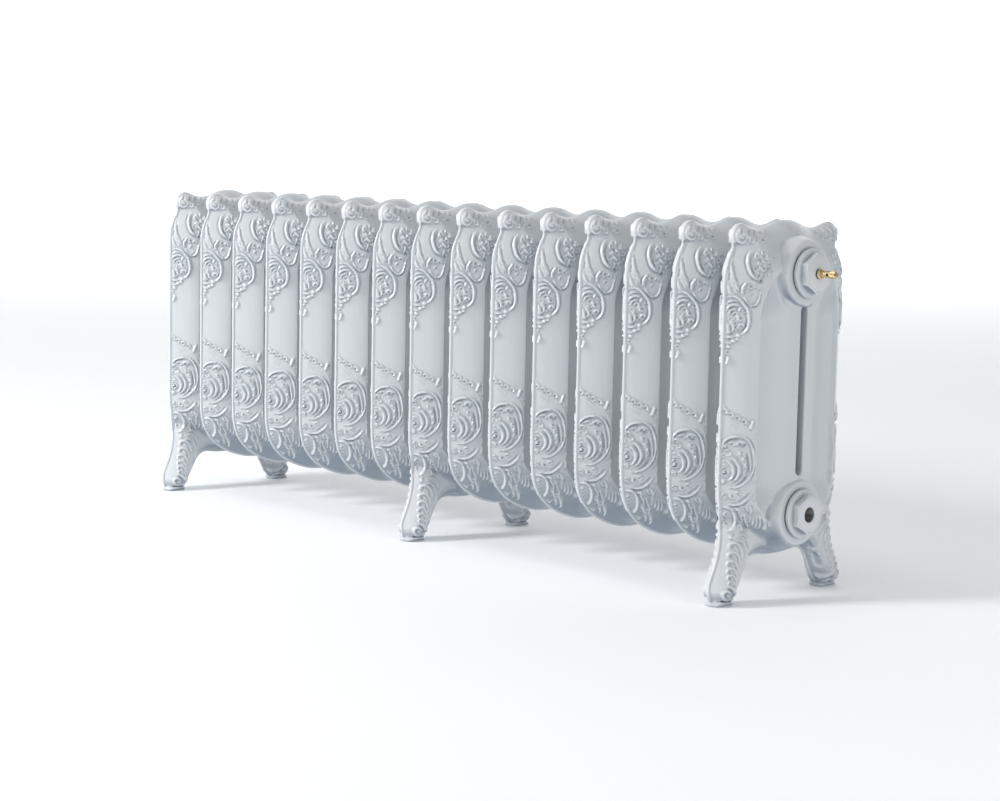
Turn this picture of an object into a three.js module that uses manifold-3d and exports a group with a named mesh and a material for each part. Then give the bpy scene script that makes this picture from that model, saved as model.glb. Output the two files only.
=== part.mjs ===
// A cast iron radiator: fifteen hollow two-column sections pulled together by screwed nipples,
// closed at its four end hubs by two plugs and two valve bushes, with an air vent in one plug.
// Millimetres, +Z up, X along the row of sections, Y from front to back, origin on the floor.
import * as THREE from 'three';
import { mergeVertices } from 'three/addons/utils/BufferGeometryUtils.js';
import Module from 'manifold-3d';

const wasm = await Module();
wasm.setup();

// ---- driving dimensions -------------------------------------------------------------------

const SECTION_COUNT = 15;
const SECTION_PITCH = 80;
const FOOTED_SECTIONS = [1, 8, 15];
const GASKET_THICKNESS = 1;
const HUB_REACH = (SECTION_PITCH - GASKET_THICKNESS) / 2;

const TOP_HUB_Z = 405.5;
const BOTTOM_HUB_Z = 108.5;
const HUB_RADIUS = 40;
const HUB_BORE_RADIUS = 22.5;
const HUB_SIDES = 12;

const SLOT_HALF_WIDTH = 6.2;
const SLOT_BOTTOM_Z = 156;
const SLOT_TOP_Z = 365;

const COLUMN_TOP_Z = 380;
const COLUMN_BOTTOM_Z = 140;
const CHANNEL_HALF = 25;
const TOP_CHANNEL_REACH = 86;
const TOP_CHANNEL_Z = [372, 454];
const BOTTOM_CHANNEL_REACH = 74;
const BOTTOM_CHANNEL_Z = [79, 149];

const LEG_HALF_WIDTH = 16;
const PAD_RADIUS = 19;
const PAD_HEIGHT = 8;
const PAD_Y = 104;
const PAD_SIDES = 14;

const NIPPLE_RADIUS = 21;
const NIPPLE_BORE_RADIUS = 17;
const NIPPLE_LENGTH = 28;
const NIPPLE_SIDES = 10;

const FIT_GAP = 0.3;
const END_GASKET_RADIUS = 30;
const END_GASKET_BORE_RADIUS = 22;
const FLANGE_RADIUS = 30.5;
const FLANGE_THICKNESS = 5;
const HEX_ACROSS_FLATS = 44;
const HEX_HEIGHT = 9.4;
const SPIGOT_RADIUS = 20.8;
const SPIGOT_LENGTH = 14;
const SPIGOT_CUP_RADIUS = 15;
const VALVE_BORE_RADIUS = 9.3;
const VENT_BORE_RADIUS = 5;

const VENT_THREAD_RADIUS = 4.7;
const VENT_THREAD_LENGTH = 15;
const VENT_WASHER_RADIUS = 6.4;
const VENT_WASHER_THICKNESS = 0.8;
const VENT_COLLAR_RADIUS = 6;
const VENT_COLLAR_LENGTH = 3.4;
const VENT_BARREL_RADIUS = 4.4;
const VENT_BARREL_LENGTH = 6;
const VENT_CHANNEL_RADIUS = 2.1;
const VENT_SEAT_RADIUS = 0.9;
const VENT_SEAT_LENGTH = 3;
const VENT_OUTLET_RADIUS = 0.7;
const NEEDLE_RADIUS = 1.6;
const NEEDLE_TIP_LENGTH = 2.4;
const NEEDLE_TIP_RADIUS = 0.6;
const KNOB_RADIUS = 4.65;
const KNOB_LENGTH = 15.6;
const KNOB_SOCKET_DEPTH = 8;
const KNOB_CROSS_HOLE_RADIUS = 1.3;
const KNOB_CROSS_HOLE_OFFSET = 4.2;

// Stations along X, measured outwards from the middle of an end section.
const END_GASKET_START = HUB_REACH + FIT_GAP;
const FLANGE_START = END_GASKET_START + GASKET_THICKNESS + FIT_GAP;
const HEX_START = FLANGE_START + FLANGE_THICKNESS;
const HEX_END = HEX_START + HEX_HEIGHT;
const VENT_COLLAR_START = HEX_END + VENT_WASHER_THICKNESS + 2 * FIT_GAP;
const VENT_COLLAR_END = VENT_COLLAR_START + VENT_COLLAR_LENGTH;
const VENT_BARREL_END = VENT_COLLAR_END + VENT_BARREL_LENGTH;
const KNOB_START = VENT_BARREL_END + FIT_GAP;
const KNOB_END = KNOB_START + KNOB_LENGTH;

const END_SECTION_X = (SECTION_COUNT - 1) / 2 * SECTION_PITCH;
const CENTRING_SHIFT = (HEX_END - KNOB_END) / 2;

// ---- materials ----------------------------------------------------------------------------

const enamel = { color: 0xdde2ea, roughness: 0.28, metalness: 0.0 };
const bareIron = { color: 0x55565a, roughness: 0.6, metalness: 0.7 };
const graphite = { color: 0x2c2e31, roughness: 0.85, metalness: 0.0 };
const brass = { color: 0xc9a468, roughness: 0.3, metalness: 1.0 };

// ---- solids: join, cut and mesh -------------------------------------------------------------

function toSolid(geometry) {
  const bare = geometry.clone();
  bare.deleteAttribute('normal');
  bare.deleteAttribute('uv');
  const merged = mergeVertices(bare, 1e-4);
  return new wasm.Manifold(new wasm.Mesh({
    numProp: 3,
    vertProperties: new Float32Array(merged.attributes.position.array),
    triVerts: new Uint32Array(merged.index.array),
  }));
}

function toGeometry(solid) {
  const mesh = solid.getMesh();
  const geometry = new THREE.BufferGeometry();
  geometry.setAttribute('position', new THREE.BufferAttribute(mesh.vertProperties, 3));
  geometry.setIndex(new THREE.BufferAttribute(mesh.triVerts, 1));
  geometry.computeVertexNormals();
  return geometry;
}

const group = new THREE.Group();

function addPiece(name, solid, look, x, z = 0, mirrored = false) {
  const mesh = new THREE.Mesh(toGeometry(solid), new THREE.MeshStandardMaterial(look));
  mesh.name = name;
  mesh.position.set(x + CENTRING_SHIFT, 0, z);
  if (mirrored) {
    mesh.rotation.z = Math.PI;
  }
  group.add(mesh);
}

// ---- extruded outlines and turned pieces ------------------------------------------------------

const X_AXIS = new THREE.Vector3(1, 0, 0);
const Y_AXIS = new THREE.Vector3(0, 1, 0);
const Z_AXIS = new THREE.Vector3(0, 0, 1);

// A half outline runs from the top of its mirror line to the bottom; the other half mirrors it.
function mirroredShape(half) {
  const onMirror = ([a]) => a === 0;
  const other = half.filter((point) => !onMirror(point)).map(([a, b]) => [-a, b]).reverse();
  return new THREE.Shape([...half, ...other].map(([a, b]) => new THREE.Vector2(a, b)));
}

// Extrudes a shape evenly to both sides of its plane. The plane's axes are u and v.
function extrudeBothWays(shape, halfDepth, u, v) {
  const geometry = new THREE.ExtrudeGeometry(shape, {
    depth: 2 * halfDepth,
    steps: 1,
    curveSegments: 5,
    bevelEnabled: false,
  });
  geometry.translate(0, 0, -halfDepth);
  const normal = new THREE.Vector3().crossVectors(u, v);
  geometry.applyMatrix4(new THREE.Matrix4().makeBasis(u, v, normal));
  return toSolid(geometry);
}

function boxFromTo(low, high) {
  const size = high.map((value, i) => value - low[i]);
  const geometry = new THREE.BoxGeometry(...size);
  geometry.translate(...high.map((value, i) => (value + low[i]) / 2));
  return toSolid(geometry);
}

// A rod along X from one station to another.
function rod(radius, from, to, sides = 18) {
  const geometry = new THREE.CylinderGeometry(radius, radius, to - from, sides);
  geometry.rotateZ(Math.PI / 2);
  geometry.translate((from + to) / 2, 0, 0);
  return toSolid(geometry);
}

function crossRod(radius, x, halfLength, axis) {
  const geometry = new THREE.CylinderGeometry(radius, radius, 2 * halfLength, 8);
  if (axis === Z_AXIS) {
    geometry.rotateX(Math.PI / 2);
  }
  geometry.translate(x, 0, 0);
  return toSolid(geometry);
}

// ---- one casting ------------------------------------------------------------------------------

// Seen along X: crest, curled ear, neck, straight nose and the boat-shaped bottom.
const SIDE_OUTLINE = [
  [0, 470], [24, 466], [50, 460], [86, 465.5], [98, 460], [99.5, 441], [112, 402],
  [112, 145], [107, 108], [91, 83], [60, 64], [0, 54],
];

// Seen from above: slot side, waist, crisp back edge of the nose, and its front ridge.
const PLAN_OUTLINE = [
  [0, 112], [10, 105], [27, 84.5], [32, 75], [26.5, 65], [35.5, 36],
  [37.5, 0],
  [35.5, -36], [26.5, -65], [32, -75], [27, -84.5], [10, -105], [0, -112],
];

// Seen along Y: rounded crest, straight flanks and keel.
const FRONT_OUTLINE = [
  [0, 471], [13, 467.5], [27, 454], [37.5, 424], [37.5, 104], [30, 72], [15, 56], [0, 52],
];

const LEG_OUTLINE = [
  [88, 124], [105, 110], [107, 80], [113, 52], [122, 34], [123.5, 22], [118, 5],
  [87, 5], [73, 20], [60, 42], [42, 58], [56, 90],
];

const WATER_COLUMN = [
  [0, -107], [-27, -76], [-22.5, -66], [-33.5, -10.5], [33.5, -10.5], [22.5, -66], [27, -76],
];

function castingBlank() {
  const side = extrudeBothWays(mirroredShape(SIDE_OUTLINE), HUB_REACH, Y_AXIS, Z_AXIS);
  const plan = extrudeBothWays(mirroredShape(PLAN_OUTLINE), 480, X_AXIS, Y_AXIS);
  const front = extrudeBothWays(mirroredShape(FRONT_OUTLINE), 130, X_AXIS, Z_AXIS);
  return side.intersect(plan).intersect(front);
}

function crossChannel(reach, [bottom, top]) {
  return boxFromTo([-CHANNEL_HALF, -reach, bottom], [CHANNEL_HALF, reach, top]);
}

// Two water columns, seen from above, joined by a cross channel at each hub.
function waterSpace() {
  const column = new THREE.Shape(WATER_COLUMN.map(([x, y]) => new THREE.Vector2(x, y)));
  const middle = (COLUMN_TOP_Z + COLUMN_BOTTOM_Z) / 2;
  const halfHeight = (COLUMN_TOP_Z - COLUMN_BOTTOM_Z) / 2;
  const front = extrudeBothWays(column, halfHeight, X_AXIS, Y_AXIS).translate([0, 0, middle]);
  return front
    .add(front.rotate([0, 0, 180]))
    .add(crossChannel(TOP_CHANNEL_REACH, TOP_CHANNEL_Z))
    .add(crossChannel(BOTTOM_CHANNEL_REACH, BOTTOM_CHANNEL_Z));
}

function slotCutter() {
  const shape = new THREE.Shape();
  shape.absarc(0, SLOT_TOP_Z - SLOT_HALF_WIDTH, SLOT_HALF_WIDTH, 0, Math.PI);
  shape.absarc(0, SLOT_BOTTOM_Z + SLOT_HALF_WIDTH, SLOT_HALF_WIDTH, Math.PI, 2 * Math.PI);
  return extrudeBothWays(shape, HUB_REACH + 1, Y_AXIS, Z_AXIS);
}

function legPair() {
  const outline = new THREE.Shape(LEG_OUTLINE.map(([y, z]) => new THREE.Vector2(y, z)));
  const leg = extrudeBothWays(outline, LEG_HALF_WIDTH, Y_AXIS, Z_AXIS);
  const disc = new THREE.CylinderGeometry(PAD_RADIUS, PAD_RADIUS, PAD_HEIGHT, PAD_SIDES);
  disc.rotateX(Math.PI / 2);
  disc.translate(0, PAD_Y, PAD_HEIGHT / 2);
  const footed = leg.add(toSolid(disc));
  return footed.add(footed.rotate([0, 0, 180]));
}

function casting(footed) {
  const blank = castingBlank();
  let water = waterSpace();
  let solid = footed ? blank.add(legPair()) : blank;
  for (const z of [TOP_HUB_Z, BOTTOM_HUB_Z]) {
    const hub = rod(HUB_RADIUS, -HUB_REACH, HUB_REACH, HUB_SIDES);
    solid = solid.add(hub.translate([0, 0, z]));
    const bore = rod(HUB_BORE_RADIUS, -HUB_REACH - 1, HUB_REACH + 1, NIPPLE_SIDES);
    water = water.add(bore.translate([0, 0, z]));
  }
  return solid.subtract(slotCutter()).subtract(water);
}

// ---- nipples, gaskets, plugs and bushes -----------------------------------------------------------

function nipple() {
  const half = NIPPLE_LENGTH / 2;
  const bore = rod(NIPPLE_BORE_RADIUS, -half - 1, half + 1, NIPPLE_SIDES);
  return rod(NIPPLE_RADIUS, -half, half, NIPPLE_SIDES).subtract(bore);
}

function endGasket() {
  const end = END_GASKET_START + GASKET_THICKNESS;
  const ring = rod(END_GASKET_RADIUS, END_GASKET_START, end);
  return ring.subtract(rod(END_GASKET_BORE_RADIUS, END_GASKET_START - 1, end + 1));
}

// The hexagon's flats face front and back.
function plugBlank() {
  const hexRadius = HEX_ACROSS_FLATS / Math.sqrt(3);
  const spigotEnd = FLANGE_START - SPIGOT_LENGTH;
  return rod(FLANGE_RADIUS, FLANGE_START, HEX_START)
    .add(rod(hexRadius, HEX_START - 1, HEX_END, 6).rotate([30, 0, 0]))
    .add(rod(SPIGOT_RADIUS, spigotEnd, FLANGE_START + 1));
}

function blankPlug() {
  const spigotEnd = FLANGE_START - SPIGOT_LENGTH;
  return plugBlank().subtract(rod(SPIGOT_CUP_RADIUS, spigotEnd - 1, HEX_START));
}

function boredPlug(boreRadius) {
  return plugBlank().subtract(rod(boreRadius, 0, HEX_END + 1, 20));
}

// ---- air vent -------------------------------------------------------------------------------------

function ventWasher() {
  const start = HEX_END + FIT_GAP;
  const end = start + VENT_WASHER_THICKNESS;
  return rod(VENT_WASHER_RADIUS, start, end).subtract(rod(VENT_BORE_RADIUS, start - 1, end + 1));
}

function ventBody() {
  const inner = VENT_COLLAR_START - VENT_THREAD_LENGTH;
  const outlet = crossRod(VENT_OUTLET_RADIUS, VENT_COLLAR_END + 2, 10, Z_AXIS);
  const halfOutlet = outlet.intersect(boxFromTo([0, -5, -20], [100, 5, 0]));
  return rod(VENT_THREAD_RADIUS, inner, VENT_COLLAR_START + 1, 16)
    .add(rod(VENT_COLLAR_RADIUS, VENT_COLLAR_START, VENT_COLLAR_END, 16))
    .add(rod(VENT_BARREL_RADIUS, VENT_COLLAR_END - 1, VENT_BARREL_END, 16))
    .subtract(rod(VENT_SEAT_RADIUS, inner - 1, VENT_BARREL_END, 8))
    .subtract(rod(VENT_CHANNEL_RADIUS, inner + VENT_SEAT_LENGTH, VENT_BARREL_END + 1, 12))
    .subtract(halfOutlet);
}

// A turned stem with a conical tip that closes on the seat.
function ventNeedle() {
  const tip = VENT_COLLAR_START - VENT_THREAD_LENGTH + VENT_SEAT_LENGTH + FIT_GAP;
  const end = KNOB_START + KNOB_SOCKET_DEPTH - FIT_GAP;
  const profile = [
    [0, tip], [NEEDLE_TIP_RADIUS, tip], [NEEDLE_RADIUS, tip + NEEDLE_TIP_LENGTH],
    [NEEDLE_RADIUS, end], [0, end],
  ];
  const points = profile.map(([r, x]) => new THREE.Vector2(r, x));
  const geometry = new THREE.LatheGeometry(points, 12);
  geometry.rotateZ(-Math.PI / 2);
  return toSolid(geometry);
}

function ventKnob() {
  const crossX = KNOB_START + KNOB_CROSS_HOLE_OFFSET;
  const socketRadius = NEEDLE_RADIUS + FIT_GAP + 0.1;
  return rod(KNOB_RADIUS, KNOB_START, KNOB_END, 16)
    .subtract(rod(socketRadius, KNOB_START - 1, KNOB_START + KNOB_SOCKET_DEPTH, 12))
    .subtract(crossRod(KNOB_CROSS_HOLE_RADIUS, crossX, KNOB_RADIUS + 1, Y_AXIS))
    .subtract(crossRod(KNOB_CROSS_HOLE_RADIUS, crossX, KNOB_RADIUS + 1, Z_AXIS));
}

// ---- assembly ---------------------------------------------------------------------------------------

const plainCasting = casting(false);
const footedCasting = casting(true);
const joiningNipple = nipple();
const twoDigits = (number) => String(number).padStart(2, '0');

for (let i = 1; i <= SECTION_COUNT; i += 1) {
  const solid = FOOTED_SECTIONS.includes(i) ? footedCasting : plainCasting;
  addPiece(`section_${twoDigits(i)}`, solid, enamel, (i - 1) * SECTION_PITCH - END_SECTION_X);
}

for (let i = 1; i < SECTION_COUNT; i += 1) {
  const jointX = (i - 0.5) * SECTION_PITCH - END_SECTION_X;
  addPiece(`top_nipple_${twoDigits(i)}`, joiningNipple, bareIron, jointX, TOP_HUB_Z);
  addPiece(`bottom_nipple_${twoDigits(i)}`, joiningNipple, bareIron, jointX, BOTTOM_HUB_Z);
}

const ends = [
  { side: 'left', x: -END_SECTION_X, mirrored: true },
  { side: 'right', x: END_SECTION_X, mirrored: false },
];
for (const { side, x, mirrored } of ends) {
  addPiece(`top_gasket_${side}`, endGasket(), graphite, x, TOP_HUB_Z, mirrored);
  addPiece(`bottom_gasket_${side}`, endGasket(), graphite, x, BOTTOM_HUB_Z, mirrored);
  addPiece(`valve_bush_${side}`, boredPlug(VALVE_BORE_RADIUS), enamel, x, BOTTOM_HUB_Z, mirrored);
}
addPiece('blank_plug', blankPlug(), enamel, -END_SECTION_X, TOP_HUB_Z, true);
addPiece('air_vent_plug', boredPlug(VENT_BORE_RADIUS), enamel, END_SECTION_X, TOP_HUB_Z);

addPiece('vent_washer', ventWasher(), graphite, END_SECTION_X, TOP_HUB_Z);
addPiece('vent_body', ventBody(), brass, END_SECTION_X, TOP_HUB_Z);
addPiece('vent_needle', ventNeedle(), brass, END_SECTION_X, TOP_HUB_Z);
addPiece('vent_knob', ventKnob(), brass, END_SECTION_X, TOP_HUB_Z);

export default group;
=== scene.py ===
"""Looks of a rococo cast iron radiator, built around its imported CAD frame.

Lengths inside the mesh code are millimetres, and MM turns them into metres. One casting is drawn
in its own frame: x across the section, y from its middle to its front or back, z up from the floor.
"""
import math

import bmesh
import bpy
import numpy as np
from mathutils import Matrix, Vector, geometry


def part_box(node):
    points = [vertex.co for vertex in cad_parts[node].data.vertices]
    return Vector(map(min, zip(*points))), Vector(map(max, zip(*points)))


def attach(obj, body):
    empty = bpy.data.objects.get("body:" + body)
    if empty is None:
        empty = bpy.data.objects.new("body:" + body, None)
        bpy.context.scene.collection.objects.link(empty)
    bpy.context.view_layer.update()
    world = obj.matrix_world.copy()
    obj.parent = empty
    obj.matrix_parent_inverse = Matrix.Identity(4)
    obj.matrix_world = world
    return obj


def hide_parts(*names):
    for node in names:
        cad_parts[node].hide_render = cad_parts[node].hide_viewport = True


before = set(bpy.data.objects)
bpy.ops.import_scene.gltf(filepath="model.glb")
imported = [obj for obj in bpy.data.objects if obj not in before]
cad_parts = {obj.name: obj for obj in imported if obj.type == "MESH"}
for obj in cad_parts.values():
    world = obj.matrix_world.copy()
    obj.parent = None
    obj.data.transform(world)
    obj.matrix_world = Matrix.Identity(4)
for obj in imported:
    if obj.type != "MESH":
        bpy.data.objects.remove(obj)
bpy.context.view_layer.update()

MM = 0.001


def node_centre(node):
    low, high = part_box(node)
    return [(a + b) / 2 / MM for a, b in zip(low, high)]


def node_length(node):
    """How far a CAD node reaches along x."""
    low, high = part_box(node)
    return (high[0] - low[0]) / MM


def node_start(node):
    """The middle of a CAD node's left end."""
    return (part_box(node)[0][0] / MM, *node_centre(node)[1:])


SECTION_NODES = sorted(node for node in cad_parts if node.startswith("section_"))
FOOTED = {"section_01", "section_08", "section_15"}
SECTION_X = [node_centre(node)[0] for node in SECTION_NODES]
MIDDLE_X = (SECTION_X[0] + SECTION_X[-1]) / 2
PITCH = SECTION_X[1] - SECTION_X[0]
HUB_FACE = node_length("section_02") / 2
TOP_HUB_Z = node_centre("blank_plug")[2]
BOTTOM_HUB_Z = node_centre("valve_bush_right")[2]
HUB_LEVELS = (TOP_HUB_Z, BOTTOM_HUB_Z)

# ---- camera, light and floor ----

CAMERA_FROM_MIDDLE = (2331, -2212, 571)
CAMERA_YAW = math.radians(-45.69)
CAMERA_PITCH = math.radians(-6.755)
CAMERA_ROLL = math.radians(1.181)
CAMERA_LENS = 82.1
SENSOR_WIDTH = 36

FLOOR_SIZE = 24
FLOOR_PAINT, FLOOR_GLOW = (0.93, 0.935, 0.94), (0.95, 0.97, 1.0)
WALL_PLACE, WALL_SIZE = (-3.4, 3.4, 2.4), (18, 6.2, 1)
WALL_PAINT, WALL_GLOW = (0.9, 0.9, 0.9), (1, 1, 1)
SKY_COLOUR, SKY_STRENGTH = (0.90, 0.95, 1.0), 0.28


def linked(name, data):
    """A new object in the scene."""
    piece = bpy.data.objects.new(name, data)
    bpy.context.scene.collection.objects.link(piece)
    return piece


def make_camera():
    ahead = Vector((math.sin(CAMERA_YAW) * math.cos(CAMERA_PITCH),
                    math.cos(CAMERA_YAW) * math.cos(CAMERA_PITCH), math.sin(CAMERA_PITCH)))
    level_right = ahead.cross(Vector((0, 0, 1))).normalized()
    level_up = level_right.cross(ahead)
    right = level_right * math.cos(CAMERA_ROLL) + level_up * math.sin(CAMERA_ROLL)
    up = level_up * math.cos(CAMERA_ROLL) - level_right * math.sin(CAMERA_ROLL)
    data = bpy.data.cameras.new("camera")
    data.lens = CAMERA_LENS
    data.sensor_width = SENSOR_WIDTH
    data.clip_start, data.clip_end = 0.05, 50
    camera = linked("camera", data)
    place = Vector(CAMERA_FROM_MIDDLE) + Vector((MIDDLE_X, 0, 0))
    turn = Matrix((right, up, -ahead)).transposed().to_4x4()
    camera.matrix_world = Matrix.Translation(place * MM) @ turn
    bpy.context.scene.camera = camera


def area_light(name, place, aim, size, power, colour=(1, 1, 1)):
    data = bpy.data.lights.new(name, "AREA")
    data.shape = "RECTANGLE"
    data.size, data.size_y = size
    data.energy = power
    data.color = colour
    light = linked(name, data)
    light.location = place
    light.rotation_euler = (Vector(aim) - Vector(place)).to_track_quat("-Z", "Y").to_euler()


def studio_plane(name, paint, glow, strength, **shape):
    """A plain studio surface with a faint glow of its own."""
    bpy.ops.mesh.primitive_plane_add(**shape)
    plane = bpy.context.object
    plane.name = name
    material, _, shader = new_material(name + "_paint")
    shader.inputs["Base Color"].default_value = (*paint, 1)
    shader.inputs["Emission Color"].default_value = (*glow, 1)
    shader.inputs["Emission Strength"].default_value = strength
    plane.data.materials.append(material)
    return plane, shader


def make_stage():
    """A pale floor, a lit white wall well behind the radiator, and soft light."""
    floor, floor_shader = studio_plane("floor", FLOOR_PAINT, FLOOR_GLOW, 0.14, size=FLOOR_SIZE)
    floor_shader.inputs["Roughness"].default_value = 0.8
    wall, _ = studio_plane("backdrop", WALL_PAINT, WALL_GLOW, 0.8, size=1, location=WALL_PLACE,
                           rotation=(math.pi / 2, 0, math.pi / 4))
    wall.scale = WALL_SIZE
    world = bpy.data.worlds.new("studio")
    world.use_nodes = True
    background = world.node_tree.nodes["Background"]
    background.inputs["Color"].default_value = (*SKY_COLOUR, 1)
    background.inputs["Strength"].default_value = SKY_STRENGTH
    bpy.context.scene.world = world
    area_light("key", (-1.5, -3.3, 2.1), (-0.3, 0, 0.25), (0.9, 1.1), 118)
    area_light("overhead", (0.0, -1.0, 3.4), (0, 0, 0), (3.0, 1.4), 20)
    area_light("end", (2.8, -0.3, 0.8), (0.5, 0, 0.25), (0.4, 1.0), 9, (0.97, 0.985, 1.0))
    bpy.context.scene.view_settings.view_transform = "Standard"


# ---- small tools ----


def smoothstep(low, high, value):
    t = np.clip((value - low) / (high - low), 0, 1)
    return t * t * (3 - 2 * t)


def smooth_max(a, b, blend):
    h = np.clip(0.5 + 0.5 * (a - b) / blend, 0, 1)
    return b + (a - b) * h + blend * h * (1 - h)


def smooth_min(a, b, blend):
    return -smooth_max(-a, -b, blend)


def curve_through(points, step=1.0):
    """Points about a step apart on a smooth curve through the given points."""
    p = np.array(points, float)
    before = np.vstack([2 * p[0] - p[1], p[:-1]])[:-1]
    after = np.vstack([p[1:], 2 * p[-1] - p[-2]])[1:]
    out = []
    for a, b, c, d in zip(before, p[:-1], p[1:], after):
        span = np.linalg.norm(c - b)
        count = max(1, int(round(span / step)))
        t = np.arange(count)[:, None] / count
        # Tangents are scaled to the span, so that uneven spacing makes no loops.
        m0 = (c - a) * span / max(span + np.linalg.norm(b - a), 1e-9)
        m1 = (d - b) * span / max(np.linalg.norm(d - c) + span, 1e-9)
        out.append((2 * t**3 - 3 * t**2 + 1) * b + (t**3 - 2 * t**2 + t) * m0
                   + (3 * t**2 - 2 * t**3) * c + (t**3 - t**2) * m1)
    return np.vstack([*out, p[-1:]])


def distance_along(points, line):
    """Distance from each point to a polyline, and how far along it the nearest place is, 0 to 1."""
    start, step = line[:-1], np.diff(line, axis=0)
    length = np.maximum((step**2).sum(1), 1e-12)
    best = np.full(len(points), 1e9)
    where = np.zeros(len(points))
    for i, (a, d, l2) in enumerate(zip(start, step, length)):
        t = np.clip(((points - a) @ d) / l2, 0, 1)
        gap = np.linalg.norm(points - a - t[:, None] * d, axis=1)
        closer = gap < best
        best[closer] = gap[closer]
        where[closer] = (i + t[closer]) / len(step)
    return best, where


# ---- one casting: outlines and the width of the base form ----

# Half outlines seen along x, from the crest down to the keel.
CREST = [(0, 469.5), (11, 468.9), (21, 466.8), (31, 463.4), (41, 460.4), (51, 459.2), (61, 460.2),
         (70, 462.8), (78, 465.1),
         (85, 466), (93, 463.8), (98.8, 458.5), (101, 451.5), (99.6, 444.5), (98.2, 439),
         (100, 433), (104.5, 425), (108.6, 415.5), (111.2, 406), (112, 396)]
PLAIN_BOTTOM = [(112, 152), (111.4, 138), (109.4, 124), (105.4, 110), (98.6, 97), (88.5, 85.5),
                (75, 75), (59, 66.5), (41, 60), (21, 55.4), (0, 54)]
LEG_FRONT = [(112, 152), (111.2, 137), (109, 122), (107, 108), (106, 95), (106, 82),
             (107.8, 69), (111, 57), (115.4, 46), (120.2, 35.5), (123.4, 26.5), (123.9, 18.5),
             (122.4, 11.5), (120.2, 7)]
PAD_EDGE = [(119.6, 5.4), (120.4, 4.2), (120.4, 1.2), (119.6, 0)]
PAD_REAR = [(85.6, 0), (84.8, 1.2), (84.8, 4.2), (85.4, 5.6)]
LEG_REAR = [(82.5, 8), (76, 16), (71, 24), (66.8, 32), (62.2, 40), (57.4, 47.6), (51, 53),
            (42, 55.6), (22, 53.6), (0, 52.6)]
OUTLINE_STEP = 1.3

# Half the thickness of the casting at a depth inside its outline, or at a distance y from the
# middle, and the heights z and distances y over which one form fades into the next.
NOSE_DEPTHS = [0, 1.5, 4, 8, 12, 17, 22, 27, 32, 37, 41, 50, 64, 110]
NOSE_WIDTHS = [0.6, 2, 4.7, 8.8, 12.7, 17.2, 21.2, 24.6, 27.6, 29.8, 31.2, 33.4, 35, 38]
EAR_DEPTHS = [0, 0.5, 1.5, 3, 5, 8, 13]
EAR_SWELLS = [0, 2.4, 3.2, 3.4, 3.2, 2, 0]
EAR_FADE = (438, 444)
CREST_DEPTHS = [0, 1, 3, 7, 12, 18, 26, 36, 60]
CREST_WIDTHS = [0, 3, 6.4, 11.8, 17.5, 23.2, 29, 33, 37]
CREST_FADE, CREST_REACH = (436, 462), (84, 62)
LEG_DEPTHS = [0, 1.5, 4, 8, 12, 17, 25]
LEG_WIDTHS = [0.6, 2.8, 6.4, 10.8, 13.8, 15.8, 16.5]
LEG_FLARE = 0.22
LEG_TOP_Z, LEG_FADE = 118, 30
LEG_WEB, LEG_WEB_BEAD = 8.5, 1.8
SHOULDER_PLACES = [0, 45, 60, 80]
SHOULDER_WIDTHS = [37.3, 33.5, 32, 42]
WAIST_PLACES = [0, 12, 25, 36, 46, 55, 62, 68, 72, 75, 78]
WAIST_WIDTHS = [37.3, 36.3, 33, 28, 23.5, 21.5, 22, 23, 24.5, 28, 42]
WAIST_TOP, WAIST_FOOT = (408, 344), (96, 148)
BEAD_RADIUS = 1.7
RIB_STAND = 1.6

SLOT_HALF_WIDTH = 6.2
SLOT_Z = (156, 365)
SLOT_LOW, SLOT_HIGH = SLOT_Z[0] + SLOT_HALF_WIDTH, SLOT_Z[1] - SLOT_HALF_WIDTH
SLOT_ROUNDING = 3.0
HUB_RADIUS = 40
HUB_BORE = 22.2
HUB_EDGE, HUB_EDGE_DROP = 2.4, 2.59
HUB_SLOPE = 3.3
# The shallow bowl round each hub: height, half thickness at its rim, where it opens upwards.
HUB_BOWLS = [(TOP_HUB_Z, 29, -12), (BOTTOM_HUB_Z, 24.5, 2)]
BOWL_RADIUS = 46
PAD_Y = 102.6
PAD_RADIUS = 17.5
PAD_TOP = 6.5
OUTSIDE = -20


def half_outline(footed):
    lines = (CREST, LEG_FRONT, PAD_EDGE, PAD_REAR, LEG_REAR) if footed else (CREST, PLAIN_BOTTOM)
    return np.vstack([curve_through(line, OUTLINE_STEP) for line in lines])


PLAIN_OUTLINE = half_outline(False)
LEG_OUTLINE = half_outline(True)
LEG_REAR_EDGE = curve_through(LEG_REAR, 3)


def inside(points, loop):
    """True for each point within a closed loop of points."""
    y, z = points[:, :1], points[:, 1:]
    y0, z0 = loop[:, 0], loop[:, 1]
    y1, z1 = np.roll(y0, -1), np.roll(z0, -1)
    crosses = (z0 > z) != (z1 > z)
    run = np.where(np.abs(z1 - z0) < 1e-9, 1e-9, z1 - z0)
    return (crosses & (y < y0 + (z - z0) / run * (y1 - y0))).sum(1) % 2 == 1


def depth_in(points, outline):
    """Distance inside a half outline, negative outside it."""
    loop = np.vstack([outline, [[-1, outline[-1, 1]], [-1, outline[0, 1]]]])
    start, step = outline[:-1], np.diff(outline, axis=0)
    length = np.maximum((step**2).sum(1), 1e-12)
    gaps = []
    for block in np.array_split(points, len(points) // 4000 + 1):
        t = ((block[:, None] - start) * step).sum(2) / length
        near = start + np.clip(t, 0, 1)[..., None] * step
        gaps.append(np.linalg.norm(block[:, None] - near, axis=2).min(1))
    gap = np.concatenate(gaps)
    return np.where(inside(points, loop), gap, -gap)


def slot_distance(points):
    middle = np.clip(points[:, 1], SLOT_LOW, SLOT_HIGH)
    return np.hypot(points[:, 0], points[:, 1] - middle) - SLOT_HALF_WIDTH


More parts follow.
